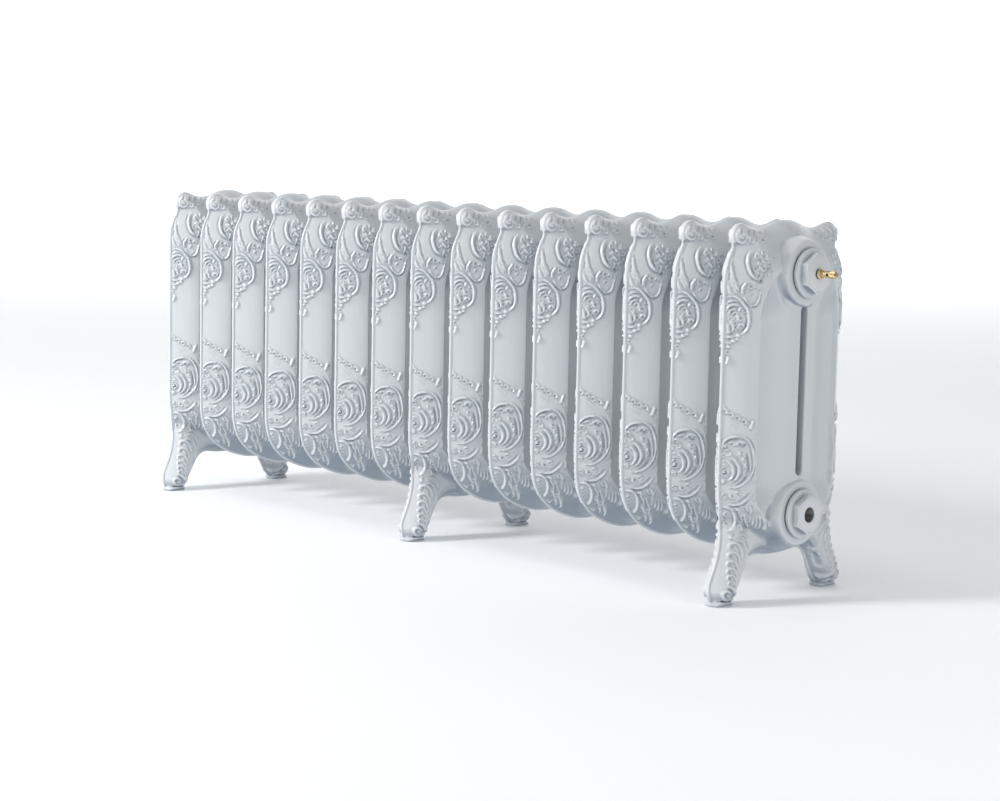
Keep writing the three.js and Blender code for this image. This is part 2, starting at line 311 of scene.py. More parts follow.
def hub_distance(points, hub_z):
    return np.hypot(points[:, 0], points[:, 1] - hub_z)


def bead(depth):
    return np.sqrt(np.clip(BEAD_RADIUS**2 - (BEAD_RADIUS - np.clip(depth, 0, BEAD_RADIUS))**2,
                           0, None))


def body_width(points):
    """The column pair with its sharp nose, its ear, its crest and its hollow waist."""
    y, z = points[:, 0], points[:, 1]
    depth = depth_in(points, PLAIN_OUTLINE)
    nose = np.interp(depth - RIB_STAND, NOSE_DEPTHS, NOSE_WIDTHS)
    ear = np.interp(depth, EAR_DEPTHS, EAR_SWELLS)
    crest = np.interp(depth, CREST_DEPTHS, CREST_WIDTHS)
    edge = nose + ear * smoothstep(*EAR_FADE, z)
    edge += (crest - edge) * smoothstep(*CREST_FADE, z) * smoothstep(*CREST_REACH, y)
    shoulder = np.interp(y, SHOULDER_PLACES, SHOULDER_WIDTHS)
    waist = np.interp(y, WAIST_PLACES, WAIST_WIDTHS)
    waist_fade = smoothstep(*WAIST_TOP, z) * smoothstep(*WAIST_FOOT, z)
    width = smooth_min(edge, shoulder + (waist - shoulder) * waist_fade, 0.8)
    for hub_z, rim_width, opening in HUB_BOWLS:
        past = np.clip(hub_distance(points, hub_z) - BOWL_RADIUS, 0, None)
        bowl = rim_width + 0.5 * past + 14 * smoothstep(36, 12, y)
        bowl += 16 * smoothstep(hub_z + opening, hub_z + opening + 40, z)
        width = smooth_min(width, bowl, 3)
    return np.where(depth > 0, np.maximum(width, bead(depth)), OUTSIDE)


def with_leg(points, width):
    """A width with the leg, its web and its round foot pad added."""
    y, z = points[:, 0], points[:, 1]
    depth = depth_in(points, LEG_OUTLINE)
    leg = np.interp(depth - RIB_STAND, LEG_DEPTHS, LEG_WIDTHS)
    leg *= 1 + LEG_FLARE * smoothstep(60, 20, z)
    rear_gap, _ = distance_along(points, LEG_REAR_EDGE)
    web = LEG_WEB + 14 * smoothstep(8, 19, rear_gap) + 13 * smoothstep(34, 14, z)
    web += LEG_WEB_BEAD * np.clip(1 - ((rear_gap - 3.2) / 3)**2, 0, 1)
    leg = np.maximum(smooth_min(leg, web, 1), bead(depth))
    leg -= 30 * smoothstep(LEG_TOP_Z - LEG_FADE, LEG_TOP_Z + LEG_FADE, z)
    width = smooth_max(width, leg, 1.6)
    pad_radius = PAD_RADIUS - np.clip(1 - z / 3, 0, 1)**2 - 3 * smoothstep(4, PAD_TOP, z)
    pad = np.sqrt(np.clip(pad_radius**2 - (y - PAD_Y)**2, 0, None))
    width = np.where(z < PAD_TOP, np.maximum(width, pad), width)
    return np.where(depth > 0, width, 0)


def base_width(points, footed):
    """Half the thickness of the casting at each place, before its ornament."""
    width = body_width(points)
    if footed:
        width = with_leg(points, width)
    flat_radius = HUB_RADIUS - 1.5
    for hub_z in HUB_LEVELS:
        radius = hub_distance(points, hub_z)
        past = np.clip(radius - flat_radius, 0, None)
        side = HUB_EDGE_DROP + (past - HUB_EDGE) * HUB_SLOPE
        hub = HUB_FACE - np.where(past < HUB_EDGE, past**2 * 0.45, side)
        width = smooth_max(width, hub, 1.8)
        width = np.where(radius < flat_radius, HUB_FACE, width)
    slot_gap = np.clip(slot_distance(points), 0, SLOT_ROUNDING)
    rim = SLOT_ROUNDING - np.sqrt(np.clip(SLOT_ROUNDING**2 - (SLOT_ROUNDING - slot_gap)**2, 0, None))
    return width - rim


# ---- the rococo ornament ----
#
# The ornament is drawn flat, as seen square to a flank that lies at 45 degrees: u runs across the
# flank from the front ridge towards the waist, and z is the height, both in millimetres.
# A ridge or groove has its half width, its height or depth and its points. A boss or hollow has
# its place, radius and height or depth, and a curl its place, size, start angle and hand.

RIDGE_U = 0.3
RIDGE_LIFT = 1.8
GROOVE_CUT = 0.95
REACH_HEIGHTS = [0, 20, 40, 60, 85, 110, 140, 200, 300, 380, 400, 420, 440, 452, 465]
REACHES = [114.5, 118.5, 114.5, 108.5, 103.5, 106.5, 110.5, 112, 111.5, 111.5, 110.5, 106, 97.5,
           99.5, 94.5]
RUN_PER_MM = 0.71
RIDGE_HALF_WIDTH = 1.5
TOE_Z = 92


def ridge(half_width, height, *points):
    return {"line": points, "half_width": half_width, "height": height}


def groove(half_width, depth, *points):
    return ridge(half_width, -depth, *points)


def boss(u, z, radius, height):
    return {"line": [(u, z), (u + 0.01, z)], "half_width": radius, "height": height, "round": True}


def hollow(u, z, radius, depth):
    return boss(u, z, radius, -depth)


def spiral(u, z, radii, angles):
    return [(u + r * math.cos(a), z + r * math.sin(a)) for r, a in zip(radii, angles)]


def volute(u, z, outer, inner, turns=1.5, start=90, height=1.3, hand=1):
    """A rolled-up scroll: a rib winding in to an eye, with a groove beside it."""
    angle = np.radians(start) + hand * np.linspace(0, 2 * math.pi * turns, int(14 * turns))
    radius = np.linspace(outer, inner, len(angle))
    gap = (outer - inner) / max(turns, 1) / 2
    valley = spiral(u, z, np.maximum(radius - gap, 0.3), angle)
    width = max(gap * 0.85, 0.8)
    return [ridge(width, height, *spiral(u, z, radius, angle)), groove(width * 0.85, height, *valley)]


def curl(u, z, size, start, hand=1):
    """A small comma of leaf, rolled round a hollow eye."""
    angle = np.radians(start) + hand * np.linspace(0, 1.45 * math.pi, 9)
    rib = spiral(u, z, np.linspace(size, size * 0.45, len(angle)), angle)
    return [ridge(max(1.0, size * 0.36), 1.2, *rib), hollow(u, z, size * 0.42, 1.1)]


def curls(*rows):
    """Curls from rows of their values, in order."""
    return [stroke for row in rows for stroke in curl(*row)]


# The rolled ear at the top of the nose, with a fringe of lappets.
EAR = [
    boss(12, 451, 11, 0.8), boss(11.5, 449.5, 2.4, 1.2),
    *curls((22.5, 446, 3.4, 200), (30, 443.5, 3, 20), (37.5, 446, 3, 200)),
    *volute(11.5, 449.5, 8.5, 2.2, turns=1.4, start=80, height=1.2),
    groove(1.3, 1.6, (9.7, 461.5), (9.3, 456), (10.3, 452)),
    groove(1.4, 1.8, (17, 459), (18.5, 455.5), (19.5, 452)),
    groove(1.2, 1.5, (24.8, 458), (25.5, 455), (26.8, 452)),
    groove(1.1, 1.2, (32, 457.5), (33.5, 455.5), (34.5, 453)),
    groove(1.2, 1.2, (38.5, 455), (41, 453.5), (43.5, 453)), groove(1, 1, (47.5, 452), (49.5, 449.5)),
    groove(1, 1, (53, 449), (54.5, 446.5)), ridge(1.8, 0.9, (14, 460), (15, 456), (16, 452)),
    ridge(1.8, 0.9, (21.5, 459), (22.5, 455), (23.5, 451.5)),
    ridge(1.8, 0.9, (28.5, 458), (29.5, 455), (31, 452)),
    ridge(1.8, 0.9, (35.5, 457), (37, 454.5), (38.5, 452)),
    groove(1.0, 1.2, (16, 452), (16.8, 448), (16, 444), (13, 441.5), (9, 440.8), (5.5, 442),
        (3.5, 445)),
    groove(1, 1, (22.5, 449.5), (23, 447), (22, 444)),
]

# The long S-scroll down the ridge and the broad C beside it.
SCROLL_BAND = [
    groove(0.9, 1, (3.5, 434), (4.2, 428), (5.6, 420), (7.6, 412), (10.3, 405), (13.5, 399),
        (16.8, 393), (18.6, 388), (20.5, 383)),
    ridge(1.4, 1, (1.5, 436), (2, 428), (3.4, 420), (5.3, 412), (8, 404), (11, 397), (14, 391),
        (16.5, 386), (19, 380.5)),
    groove(1.6, 1.4, (2.8, 408), (3.5, 403), (4.2, 398)),
    ridge(1.5, 1.2, (0.8, 410), (1, 402), (2.2, 395), (4.5, 389), (8, 384)),
    ridge(1.3, 1, (6, 405), (7, 399), (9.5, 393), (12.5, 387), (15.5, 381)),
    groove(0.8, 0.8, (5.8, 404), (8.3, 396), (11.5, 389.5), (15, 383.5)),
    ridge(1.6, 1, (2, 396), (2.5, 391), (4.5, 386), (8, 382), (12, 379.5)),
    groove(1.5, 1.2, (21, 434), (19, 430), (19.3, 424), (21, 417), (23.5, 411), (27, 405), (31, 400.5),
        (37, 397.3), (43, 394.8), (47, 393)),
    ridge(1.8, 1.6, (25, 434), (22.3, 430), (22.5, 424), (24.3, 417), (27, 411), (30.5, 405.5),
        (34.5, 401.5), (40, 398.5)),
    groove(1.2, 1, (27, 430), (26, 424), (27.5, 416), (31, 409), (35.5, 403)),
    *volute(43, 399.5, 3.5, 1.2, turns=1.2, start=180),
]

# The flower cluster inside the C.
PETALS = [
    *curls((33, 427, 3.4, 100), (39.5, 421, 3.6, 160), (46.5, 425.5, 3.4, 60, -1),
        (34.5, 411.5, 3.2, 140), (44.5, 412, 3.4, 40, -1), (51.5, 417, 3, 180), (40.5, 404.5, 2.8, 200),
        (49.5, 404.5, 2.8, 0), (54.5, 410, 2.6, 90), (53, 425, 2.6, 120), (39, 431.5, 2.8, 0, -1)),
    ridge(1.5, 1, (31, 433), (33, 429), (35.5, 425)),
    groove(1, 1, (37.5, 433), (39.5, 429), (42, 425.5)), hollow(36, 423.5, 1.5, 1),
    hollow(35.5, 413.5, 1.6, 1.2), hollow(40.5, 409, 1.6, 1.2), hollow(32, 409.5, 1.5, 1),
    hollow(48.5, 412, 2, 1.6), hollow(51.5, 417.5, 1.6, 1.3), hollow(46, 403, 1.3, 1),
    ridge(1.4, 1, (38, 416), (41, 412), (44.5, 409)), ridge(1.4, 1, (44, 418), (46.5, 414.5)),
    ridge(1.4, 1, (33, 419), (36, 417.5), (39, 418.5)),
    ridge(1.4, 1.3, (40, 423), (43, 420), (47, 418.5)),
    ridge(1.4, 1.3, (43, 430), (46, 426), (49, 423.5)),
]

# The shield-shaped leaf below the C.
HOOK = [
    *curls((31, 391, 3.4, 90), (38, 389, 3.2, 200, -1), (32.5, 381.5, 2.8, 30)),
    ridge(1.4, 1.2, (24, 379), (26.5, 373), (30.5, 369), (35, 367.2)),
    ridge(1.6, 1.5, (28, 396), (25.5, 395), (22.5, 391.5), (20.8, 387.5), (21, 383.5), (22.8, 380.5)),
    groove(1, 1, (23.5, 396.5), (20, 392), (18.6, 387.5), (19, 382.5)),
    groove(1.2, 1.1, (27.5, 388), (24.8, 386), (24.3, 382.5), (25, 380)),
    ridge(1.4, 1.4, (46, 391), (44.5, 386), (43.3, 381), (42, 376), (40.3, 371.5), (37, 368.5),
        (33, 367.5)),
    groove(1.2, 1.2, (47.6, 390), (46.2, 385), (45, 380), (43.8, 375), (41.5, 369.5), (37.5, 366.2),
        (31.5, 365.2)),
    ridge(1.2, 1, (48, 396), (46, 399), (42.5, 400)),
    ridge(1, 0.6, (27, 372), (30, 371), (34, 372.5), (37, 376)),
    groove(0.8, 0.5, (28, 376.5), (31, 379), (35, 379)),
]

# The ringed medallion with its curled filling.
MEDALLION = [
    *curls((20.5, 352.5, 3.8, 100), (22.3, 343, 3.6, 200, -1), (14, 346, 3.2, 60), (17, 339, 3, 0),
        (9, 351.5, 2.8, 150), (25.8, 361, 2.6, 120), (3.5, 351, 2.6, 90), (9.5, 338.5, 2.8, 180)),
    ridge(1.9, 1.9, (5, 377.5), (11, 378.5), (16, 377), (20.5, 373), (24.5, 368.5), (28, 363.5),
        (30, 357), (30.6, 350), (29.7, 343.5), (27.2, 338), (23.5, 334), (20.5, 331.8)),
    groove(1.3, 0.8, (31, 365), (33, 358.5), (33.6, 350), (32.5, 343), (29.8, 337), (26, 333)),
    groove(1.1, 1.2, (25.5, 357), (27.6, 351), (27.3, 344.5), (25, 340), (21.5, 337.3), (17.5, 336.3)),
    ridge(1.5, 1.4, (2.3, 357), (3, 362), (6, 366.5), (10.5, 368.8), (15.5, 368.6), (19.5, 366.5)),
    groove(0.9, 0.9, (3.6, 357.5), (4.6, 361.5), (7.5, 364.8), (11.5, 366.2)),
    ridge(1.3, 1.3, (5.6, 356), (6.8, 360.5), (10, 363), (14.5, 363.3)),
    groove(0.8, 0.8, (7.8, 356), (9, 359.5), (12, 361)),
    ridge(1.1, 1.1, (9.8, 355.5), (10.8, 359), (14, 360), (16.6, 357.5), (15.5, 354.3), (12.8, 353.6)),
    hollow(13.2, 356.2, 1.4, 1),
    ridge(1.3, 1, (0.8, 363.5), (2.5, 368.5), (6.5, 372), (12, 373.5), (17, 372)),
    groove(0.8, 0.7, (1.8, 365.5), (4.5, 369.5), (9, 371)),
    groove(0.9, 0.9, (1, 371), (3, 375), (7, 376)),
    ridge(1.5, 1.3, (17.8, 360.5), (18.8, 363.5), (21, 366.5)),
    groove(1, 1, (16.4, 361.5), (16.6, 364.5)), groove(1.2, 1.1, (24.8, 364), (25.3, 361)),
    ridge(1, 0.8, (22, 359.5), (24, 362), (26.5, 363)), hollow(25, 354.5, 1.4, 1),
    ridge(1.6, 1.4, (7.5, 350), (9.8, 346.5), (11.8, 342), (12, 337.5)),
    groove(1.1, 1.2, (12.2, 349), (13.9, 344.5), (14.6, 339.8)),
    ridge(1.5, 1.3, (4, 347), (5.5, 342), (6.2, 336.5), (6.5, 332.5)),
    groove(0.9, 0.9, (9.3, 343), (9.2, 338.5)),
    groove(1.1, 1.1, (12.5, 336.5), (10.5, 333.8), (8, 332)),
    ridge(1.3, 1, (1.5, 345), (2, 338), (3, 332)),
]

# Beads and a drop hanging from the medallion.
PENDANT = [
    boss(18.3, 331.8, 2.6, 1.6), boss(17.3, 327, 2.1, 1.4), boss(12.8, 325, 2.4, 1.6),
    boss(7.3, 318, 2.4, 1.6), ridge(1.3, 1.1, (1.5, 333), (4.5, 329.5), (9, 329.5), (13, 330.5)),
    groove(0.8, 0.8, (5, 327), (8.5, 326.8), (11, 327.8)),
    ridge(1.2, 1, (2.2, 326), (4.5, 323), (8, 322.3), (11, 323)), *curl(5.6, 311, 2.8, 60),
    ridge(1.6, 1.5, (7.5, 307), (7, 303), (5.4, 299), (3.6, 295.5)),
]

# The chain across the plain middle.
GARLAND = [
    ridge(1.3, 1.1, (2, 249), (4, 245), (5, 240.5)),
    ridge(2, 1.9, (41.5, 229.5), (39.3, 226), (37.6, 221.5), (37.2, 217)),
    groove(1.2, 1, (42.3, 226.5), (42.6, 222), (43.6, 217)), hollow(45, 212, 2, 1.3),
    ridge(1.2, 1, (46.5, 218), (47, 212), (46.5, 206)),
    ridge(1, 0.5, (8, 232.5), (13, 229), (18.5, 225), (24, 221.5)),
    ridge(1, 0.4, (9, 226), (15, 222), (21, 218.5)),
]
for curl_u, curl_z in [(5.5, 239), (13, 235), (21, 231), (29, 227)]:
    GARLAND += curl(curl_u, curl_z, 3.6, 150, -1)
    GARLAND.append(ridge(1.1, 0.7, (curl_u + 3, curl_z - 1.4), (curl_u + 4.8, curl_z - 3),
                         (curl_u + 6.6, curl_z - 3)))

# The large leaf circle near the bottom.
ACANTHUS = [
    ridge(1.5, 1.4, (21, 209), (27, 209), (33, 206), (38, 200), (41.5, 192), (43, 182), (42.5, 172),
        (40, 163), (35, 155), (28, 149.5), (20, 146.5), (12, 146)),
    boss(8, 195.5, 2, 1.4),
    *curls((15.5, 199.5, 3.8, 180, -1), (24, 199, 3.6, 0), (30.5, 199.5, 2.8, 60), (5, 186, 3, 60),
        (12, 188.5, 2.8, 200), (27.5, 189, 2.8, 120), (31.5, 181.5, 2.6, 100), (33.5, 173.5, 2.6, 80),
        (33, 165.5, 2.6, 60), (29.5, 158, 2.6, 40)),
    boss(6.2, 165.3, 2.2, 1.6), boss(5.8, 154.5, 2, 1.5),
    groove(1, 0.9, (33, 209.5), (37.5, 204.5), (41, 198), (43, 190.5), (44, 182), (43.8, 173),
        (42.3, 165), (38.5, 157.8), (32.5, 151.5), (25, 147.3), (17, 145)),
    groove(0.9, 0.8, (34.5, 201.5), (37.3, 195), (38.6, 188.5), (38.7, 180), (37.8, 172.5)),
    ridge(1.2, 0.7, (38, 214), (41, 208), (43.8, 201), (45.6, 193), (46.4, 184), (46.2, 175),
        (44.8, 166), (42, 158), (37.5, 151), (31, 145.5)),
    ridge(1.5, 1.4, (3, 197), (4.5, 200.5), (8, 204.5), (13, 207.5), (19, 209), (26, 209)),
    groove(1.1, 1.1, (4.2, 196.5), (6.5, 200.8), (10.5, 204), (16, 206), (23, 206.4)),
    ridge(1.1, 0.9, (7.5, 199.5), (11, 202.3), (15.5, 203.5)),
    *volute(8, 195.5, 4.2, 1, turns=1.4, start=120),
    ridge(1.6, 1.3, (19, 197), (22, 201.5), (26.5, 203.3), (31, 201.5), (33, 198)),
    groove(0.9, 0.8, (20.8, 196), (23.5, 199.8), (27, 200.8)),
    ridge(1, 0.8, (22, 196.3), (25.5, 195), (28.5, 196.5)), hollow(28.3, 196.5, 1.9, 1.5),
    groove(0.9, 0.8, (16.5, 204), (17, 200), (18, 198)),
    groove(1.7, 2.2, (32.8, 190), (34.3, 184), (35.4, 177), (36, 170), (35.9, 164)),
    ridge(1.2, 1.2, (35, 190), (37.3, 184), (38.3, 177), (38.4, 170), (38, 164.5)),
    groove(1.1, 1.1, (17.5, 188), (22.5, 183), (26.5, 176.5), (28.3, 170), (27.6, 163.5), (24.5, 157.8),
        (19.5, 153), (13, 150.2)),
    ridge(1.8, 1.4, (13.5, 185), (18.5, 181), (22.3, 175.5), (24.3, 169.5), (23.6, 163), (20.8, 157.6),
        (16.5, 153.6)),
    groove(1, 1, (12, 181.5), (16.5, 178), (19.8, 173), (21.2, 167.5), (20.3, 161.8), (17.3, 156.8),
        (13.3, 153.5)),
    ridge(1.5, 1.3, (8, 179.5), (12.5, 177), (16, 172.6), (17.6, 167.3), (16.8, 161.8), (14, 157.2),
        (10.5, 154.5)),
    groove(1.2, 1.2, (34.5, 163), (31, 157), (26, 151.8), (19.5, 148)),
    ridge(1.4, 1.2, (37.5, 162), (33.5, 155.5), (28, 150.5), (21, 147), (14, 145.8)),
    *volute(7, 165.3, 6, 2, turns=1.4, start=60), hollow(9.3, 164.3, 1.3, 1),
    ridge(1.1, 1, (3, 173.5), (7, 174.5), (10.5, 173)), groove(0.8, 0.8, (4.5, 171.5), (8, 172)),
    ridge(1.1, 0.9, (3.5, 178.5), (7, 179.6)), *volute(5.8, 154.5, 3.8, 1.2, turns=1.3, start=60),
    hollow(2.8, 153, 1.7, 1.1), hollow(9, 153.5, 1.5, 1.1),
]

# Scrolls between the leaf circle and the toe.
LOWER_SCROLLS = [
    boss(7, 135, 1.9, 1.4),
    *curls((16.5, 135.5, 3.4, 120), (24, 139, 3, 180, -1), (46.5, 150, 2.8, 60)),
    *volute(7, 135, 4, 1, turns=1.4, start=60), groove(1, 1, (9.5, 138), (9, 134), (8, 132)),
    groove(0.8, 0.7, (12.6, 139), (12.9, 134.5)),
    ridge(1.4, 1.4, (10, 125.6), (17, 125), (24, 126), (30, 129.3), (35.5, 133.8), (40, 139)),
    groove(1.1, 1, (22, 128.6), (28, 131.6), (33.5, 136), (38, 141.5)),
    groove(1.2, 1.1, (14, 123.2), (21, 122.8), (27.5, 124.3), (33, 127.8), (37.5, 132)),
    ridge(1, 0.6, (12, 121.3), (19, 120.6), (26, 121.6)),
    groove(0.9, 0.8, (12, 117.7), (18, 117.3), (25, 117.8)), ridge(0.8, 0.5, (13, 129.5), (20, 129.8)),
    ridge(1.5, 1.5, (43.5, 130), (44.5, 136), (46.3, 141.5), (48.2, 145.5)),
    groove(1.2, 1.1, (46, 130), (47.3, 136.5), (48.6, 141)),
    ridge(1.4, 1.2, (32, 126), (32.6, 121), (35, 116)),
    ridge(1.4, 1.2, (37, 125.5), (37.8, 120.5), (40, 115.5)),
    ridge(1.4, 1.2, (41.5, 124), (42.6, 118.5), (45, 113)),
]

# Leaves and feathers over the knee.
KNEE = [
    *curls((7, 112, 3.4, 60), (6.5, 101.5, 3.2, 60), (5.5, 86, 3, 90)),
    ridge(1.8, 1.9, (2, 121), (7, 122.3), (12.5, 121), (16.5, 116.5), (18.2, 110), (17.8, 103),
        (15.5, 97), (11.5, 93), (6.5, 91.3)),
]
for leaf_u, leaf_z in [(20.5, 120), (27, 113), (22.5, 101), (15, 84), (29.5, 94)]:
    KNEE.append(ridge(1.4, 1.5, (leaf_u - 1.6, leaf_z - 1), (leaf_u, leaf_z + 1.8),
                      (leaf_u + 2.6, leaf_z), (leaf_u + 2.6, leaf_z - 5), (leaf_u + 4.4, leaf_z - 10),
                      (leaf_u + 6, leaf_z - 15), (leaf_u + 4.4, leaf_z - 20)))
    KNEE.append(boss(leaf_u, leaf_z - 1.6, 1.7, 1.7))
for feather in range(7):
    u, z = 33.5 + 3.9 * feather, 127 - 3.3 * feather
    KNEE.append(ridge(1.35, 1.4, (u, z), (u + 2.8, z - 6), (u + 3.8, z - 13), (u + 3.2, z - 20),
                      (u + 1, z - 27)))

# Small leaves at the toe of a section without legs.
PLAIN_TOE = [
    ridge(1, 0.8, (3.5, 90), (7, 88.7), (10, 89.5)),
    ridge(1.2, 1.1, (12, 82.8), (17, 83.4), (22.5, 84.8)),
    ridge(1.3, 1.1, (24.5, 88), (27.5, 84.5), (29.3, 79.5)),
    ridge(1.1, 1, (29, 90), (31.5, 86), (33, 81)),
    ridge(1.1, 1, (33.5, 91), (35.3, 86.5), (36.3, 81.5)),
]

# The leg: leaves one below another, and a volute above the foot.
LEG = [
    ridge(1.5, 1.2, (15, 79), (20, 81), (26, 79.5), (31, 74), (34.5, 66), (36.4, 56), (36.8, 44)),
    ridge(1.4, 1.2, (20, 86.5), (25, 88), (30, 85.5), (34, 79.5), (37, 71)), boss(12, 85, 2.4, 1.3),
    hollow(15.5, 88, 1.6, 1.2),
    *volute(19.5, 15.5, 10.5, 2.4, turns=1.5, start=110, height=1.6, hand=-1),
    boss(19.5, 15.5, 2.6, 1.4),
]

LEG_LEAVES = [(15.5, 73, 1.1), (16, 62, 1.05), (16.8, 52, 0.95), (18, 43.5, 0.85),
              (19.5, 36, 0.75), (21, 29.5, 0.65)]
for leaf_u, leaf_z, size in LEG_LEAVES:
    LEG.append(ridge(1.7 * size, 1.3, *[(leaf_u + u * size, leaf_z + z * size) for u, z in
                                        [(-0.6, -3.4), (-3.2, -2), (-3.4, 2.2), (0.4, 4.4),
                                         (5, 3.4), (9, -1), (12, -8), (13, -16)]]))
    LEG.append(ridge(1.2 * size, 0.8, *[(leaf_u + u * size, leaf_z + z * size) for u, z in
                                        [(2.2, 0.6), (5, -2), (7.6, -7), (8.6, -12)]]))
    LEG.append(hollow(leaf_u + 0.2, leaf_z, 1.5 * size, 1.3))

SHARED_ORNAMENT = [*EAR, *SCROLL_BAND, *PETALS, *HOOK, *MEDALLION, *PENDANT, *GARLAND, *ACANTHUS,
                   *LOWER_SCROLLS, *KNEE]


def relief(drawn, strokes):
    """Height of the ornament over the base form at each place of the drawing."""
    raised = np.zeros(len(drawn))
    sunk = np.zeros(len(drawn))
    for stroke in strokes:
        line = np.array(stroke["line"], float)
        is_round = stroke.get("round")
        if not is_round:
            line = curve_through(line, 1.2)
        reach = stroke["half_width"] * (1.15 if stroke["height"] > 0 else 1)
        near = np.all((drawn > line.min(0) - reach) & (drawn < line.max(0) + reach), axis=1)
        if not near.any():
            continue
        gap, along = distance_along(drawn[near], line)
        taper = 1.0 if is_round else 0.4 + 0.6 * smoothstep(0, 0.18, np.minimum(along, 1 - along))
        fullness = np.clip(1 - (gap / (reach * taper))**2, 0, 1)**0.8 * taper
        height = stroke["height"] * fullness
        if stroke["height"] > 0:
            raised[near] = smooth_max(raised[near], height, 0.25)
        else:
            sunk[near] = np.minimum(sunk[near], height)
    return RIDGE_LIFT * raised + GROOVE_CUT * sunk


def ornament_height(points, footed, width):
    """Ornament over the base form, whose half thickness at each place is the width."""
    y, z = points[:, 0], points[:, 1]
    setback = np.interp(z, REACH_HEIGHTS, REACHES) - y
    run = RIDGE_U + RUN_PER_MM * (setback + width - RIDGE_HALF_WIDTH)
    drawn = np.column_stack([run, z])
    height = relief(drawn, SHARED_ORNAMENT + ([] if footed else PLAIN_TOE))
    if footed:
        height = np.where(z < TOE_Z, relief(drawn, LEG) * smoothstep(4.5, 7, z), height)
    behind_crease = smoothstep(77, 73, y) * smoothstep(402, 392, z) * smoothstep(104, 112, z)
    return height * (1 - behind_crease)


# ---- one casting: its mesh ----

FINE_STEP = (1.1, 1.2)
EDGE_ROWS = [0.12, 0.45, 0.9, 1.4, 1.75, 2.2, 2.9, 3.8]
EDGE_CLEARANCE = 4.5
SLOT_ROWS = [0.4, 1.0, 1.9, 3.2, 5.0]
SLOT_CLEARANCE = 6
SLOT_STEPS = 62
HUB_ROWS = [24.5, 30, 36, 38.4, 39, 39.6, 40.2, 40.9, 41.8, 42.8, 43.8, 44.8, 46, 47.5, 49.5, 51.5]
HUB_CLEARANCE = 53
CREASE_ROWS = [71, 72.4, 73.6, 74.4, 74.9, 75.3, 75.7, 76.4]
CREASE_Y, CREASE_HALF_WIDTH = 73.8, 3.4
CREASE_Z = (104, 396)
THINNEST = 0.35
CASTING_SHARP_ANGLE = 62
FITTING_SHARP_ANGLE = 30


def grid(y_range, z_range, step):
    y = np.arange(*y_range, step[0])
    z = np.arange(*z_range, step[1])
    yy, zz = np.meshgrid(y, z)
    # Every other row is shifted by half a step, for triangles close to equilateral.
    yy = yy + (np.arange(len(z)) % 2)[:, None] * step[0] / 2
    return np.column_stack([yy.ravel(), zz.ravel()])


def round_points(radius, centre_z, angle):
    return np.column_stack([radius * np.cos(angle), centre_z + radius * np.sin(angle)])


def slot_foot(radius, turn):
    return np.column_stack([radius * np.sin(turn), SLOT_LOW - radius * np.cos(turn)])


def slot_side(radius):
    straight = np.linspace(SLOT_LOW, SLOT_HIGH, SLOT_STEPS)[1:-1]
    return np.column_stack([np.full(len(straight), radius), straight])


def middle_line(z_start, z_end):
    count = max(2, int(round(abs(z_end - z_start) / 2.5)))
    z = np.linspace(z_start, z_end, count + 1)[1:-1]
    return np.column_stack([np.zeros(len(z)), z])


def boundary(outline):
    """The half casting's edge as one closed loop, running past the hub bores and the slot."""
    half_turn = np.linspace(-math.pi / 2, math.pi / 2, 31)
    quarter_turn = np.linspace(0, math.pi / 2, 9)
    bottom, top = (round_points(HUB_BORE, z, half_turn) for z in (BOTTOM_HUB_Z, TOP_HUB_Z))
    slot = np.vstack([slot_foot(SLOT_HALF_WIDTH, quarter_turn), slot_side(SLOT_HALF_WIDTH),
                      round_points(SLOT_HALF_WIDTH, SLOT_HIGH, quarter_turn)])
    loop = np.vstack([outline, middle_line(outline[-1, 1], bottom[0, 1]), bottom,
                      middle_line(bottom[-1, 1], slot[0, 1]), slot,
                      middle_line(slot[-1, 1], top[0, 1]), top,
                      middle_line(top[-1, 1], outline[0, 1])])
    return loop, (bottom, slot, top)


def flank_places(outline, footed):
    """Dense on the ornament, sparse on the plain web, with close rows along the waist's crease."""
    low = 0 if footed else 56
    grids = [grid((60, 126), (low + 1, 250), FINE_STEP), grid((60, 126), (298, 468), FINE_STEP),
             grid((60, 126), (250, 298), (1.3, 5)), grid((44, 60), (350, 468), FINE_STEP),
             grid((22, 60), (58, 170), (2.1, 2.1)), grid((24, 44), (350, 430), (2.1, 2.1)),
             grid((2, 60), (430, 468), (2.2, 2.2)), grid((2, 60), (170, 350), (3, 4.4)),
             grid((2, 24), (350, 430), (4, 4.4)), grid((2, 22), (50, 170), (4, 4.4))]
    points = np.vstack(grids)
    hub = np.minimum(*(hub_distance(points, hub_z) for hub_z in HUB_LEVELS))
    clear_of_hubs = (hub > HUB_CLEARANCE) | (hub < 1)
    points = points[(depth_in(points, outline) > EDGE_CLEARANCE)
                    & (slot_distance(points) > SLOT_CLEARANCE) & clear_of_hubs]
    crease_y, crease_z = np.meshgrid(CREASE_ROWS, np.arange(*CREASE_Z, 2.2))
    crease = np.column_stack([crease_y.ravel(), crease_z.ravel()])
    crease = crease[depth_in(crease, outline) > EDGE_CLEARANCE]
    on_crease = ((np.abs(points[:, 0] - CREASE_Y) < CREASE_HALF_WIDTH)
                 & (points[:, 1] > CREASE_Z[0] - 1) & (points[:, 1] < CREASE_Z[1]))
    return np.vstack([points[~on_crease], crease])


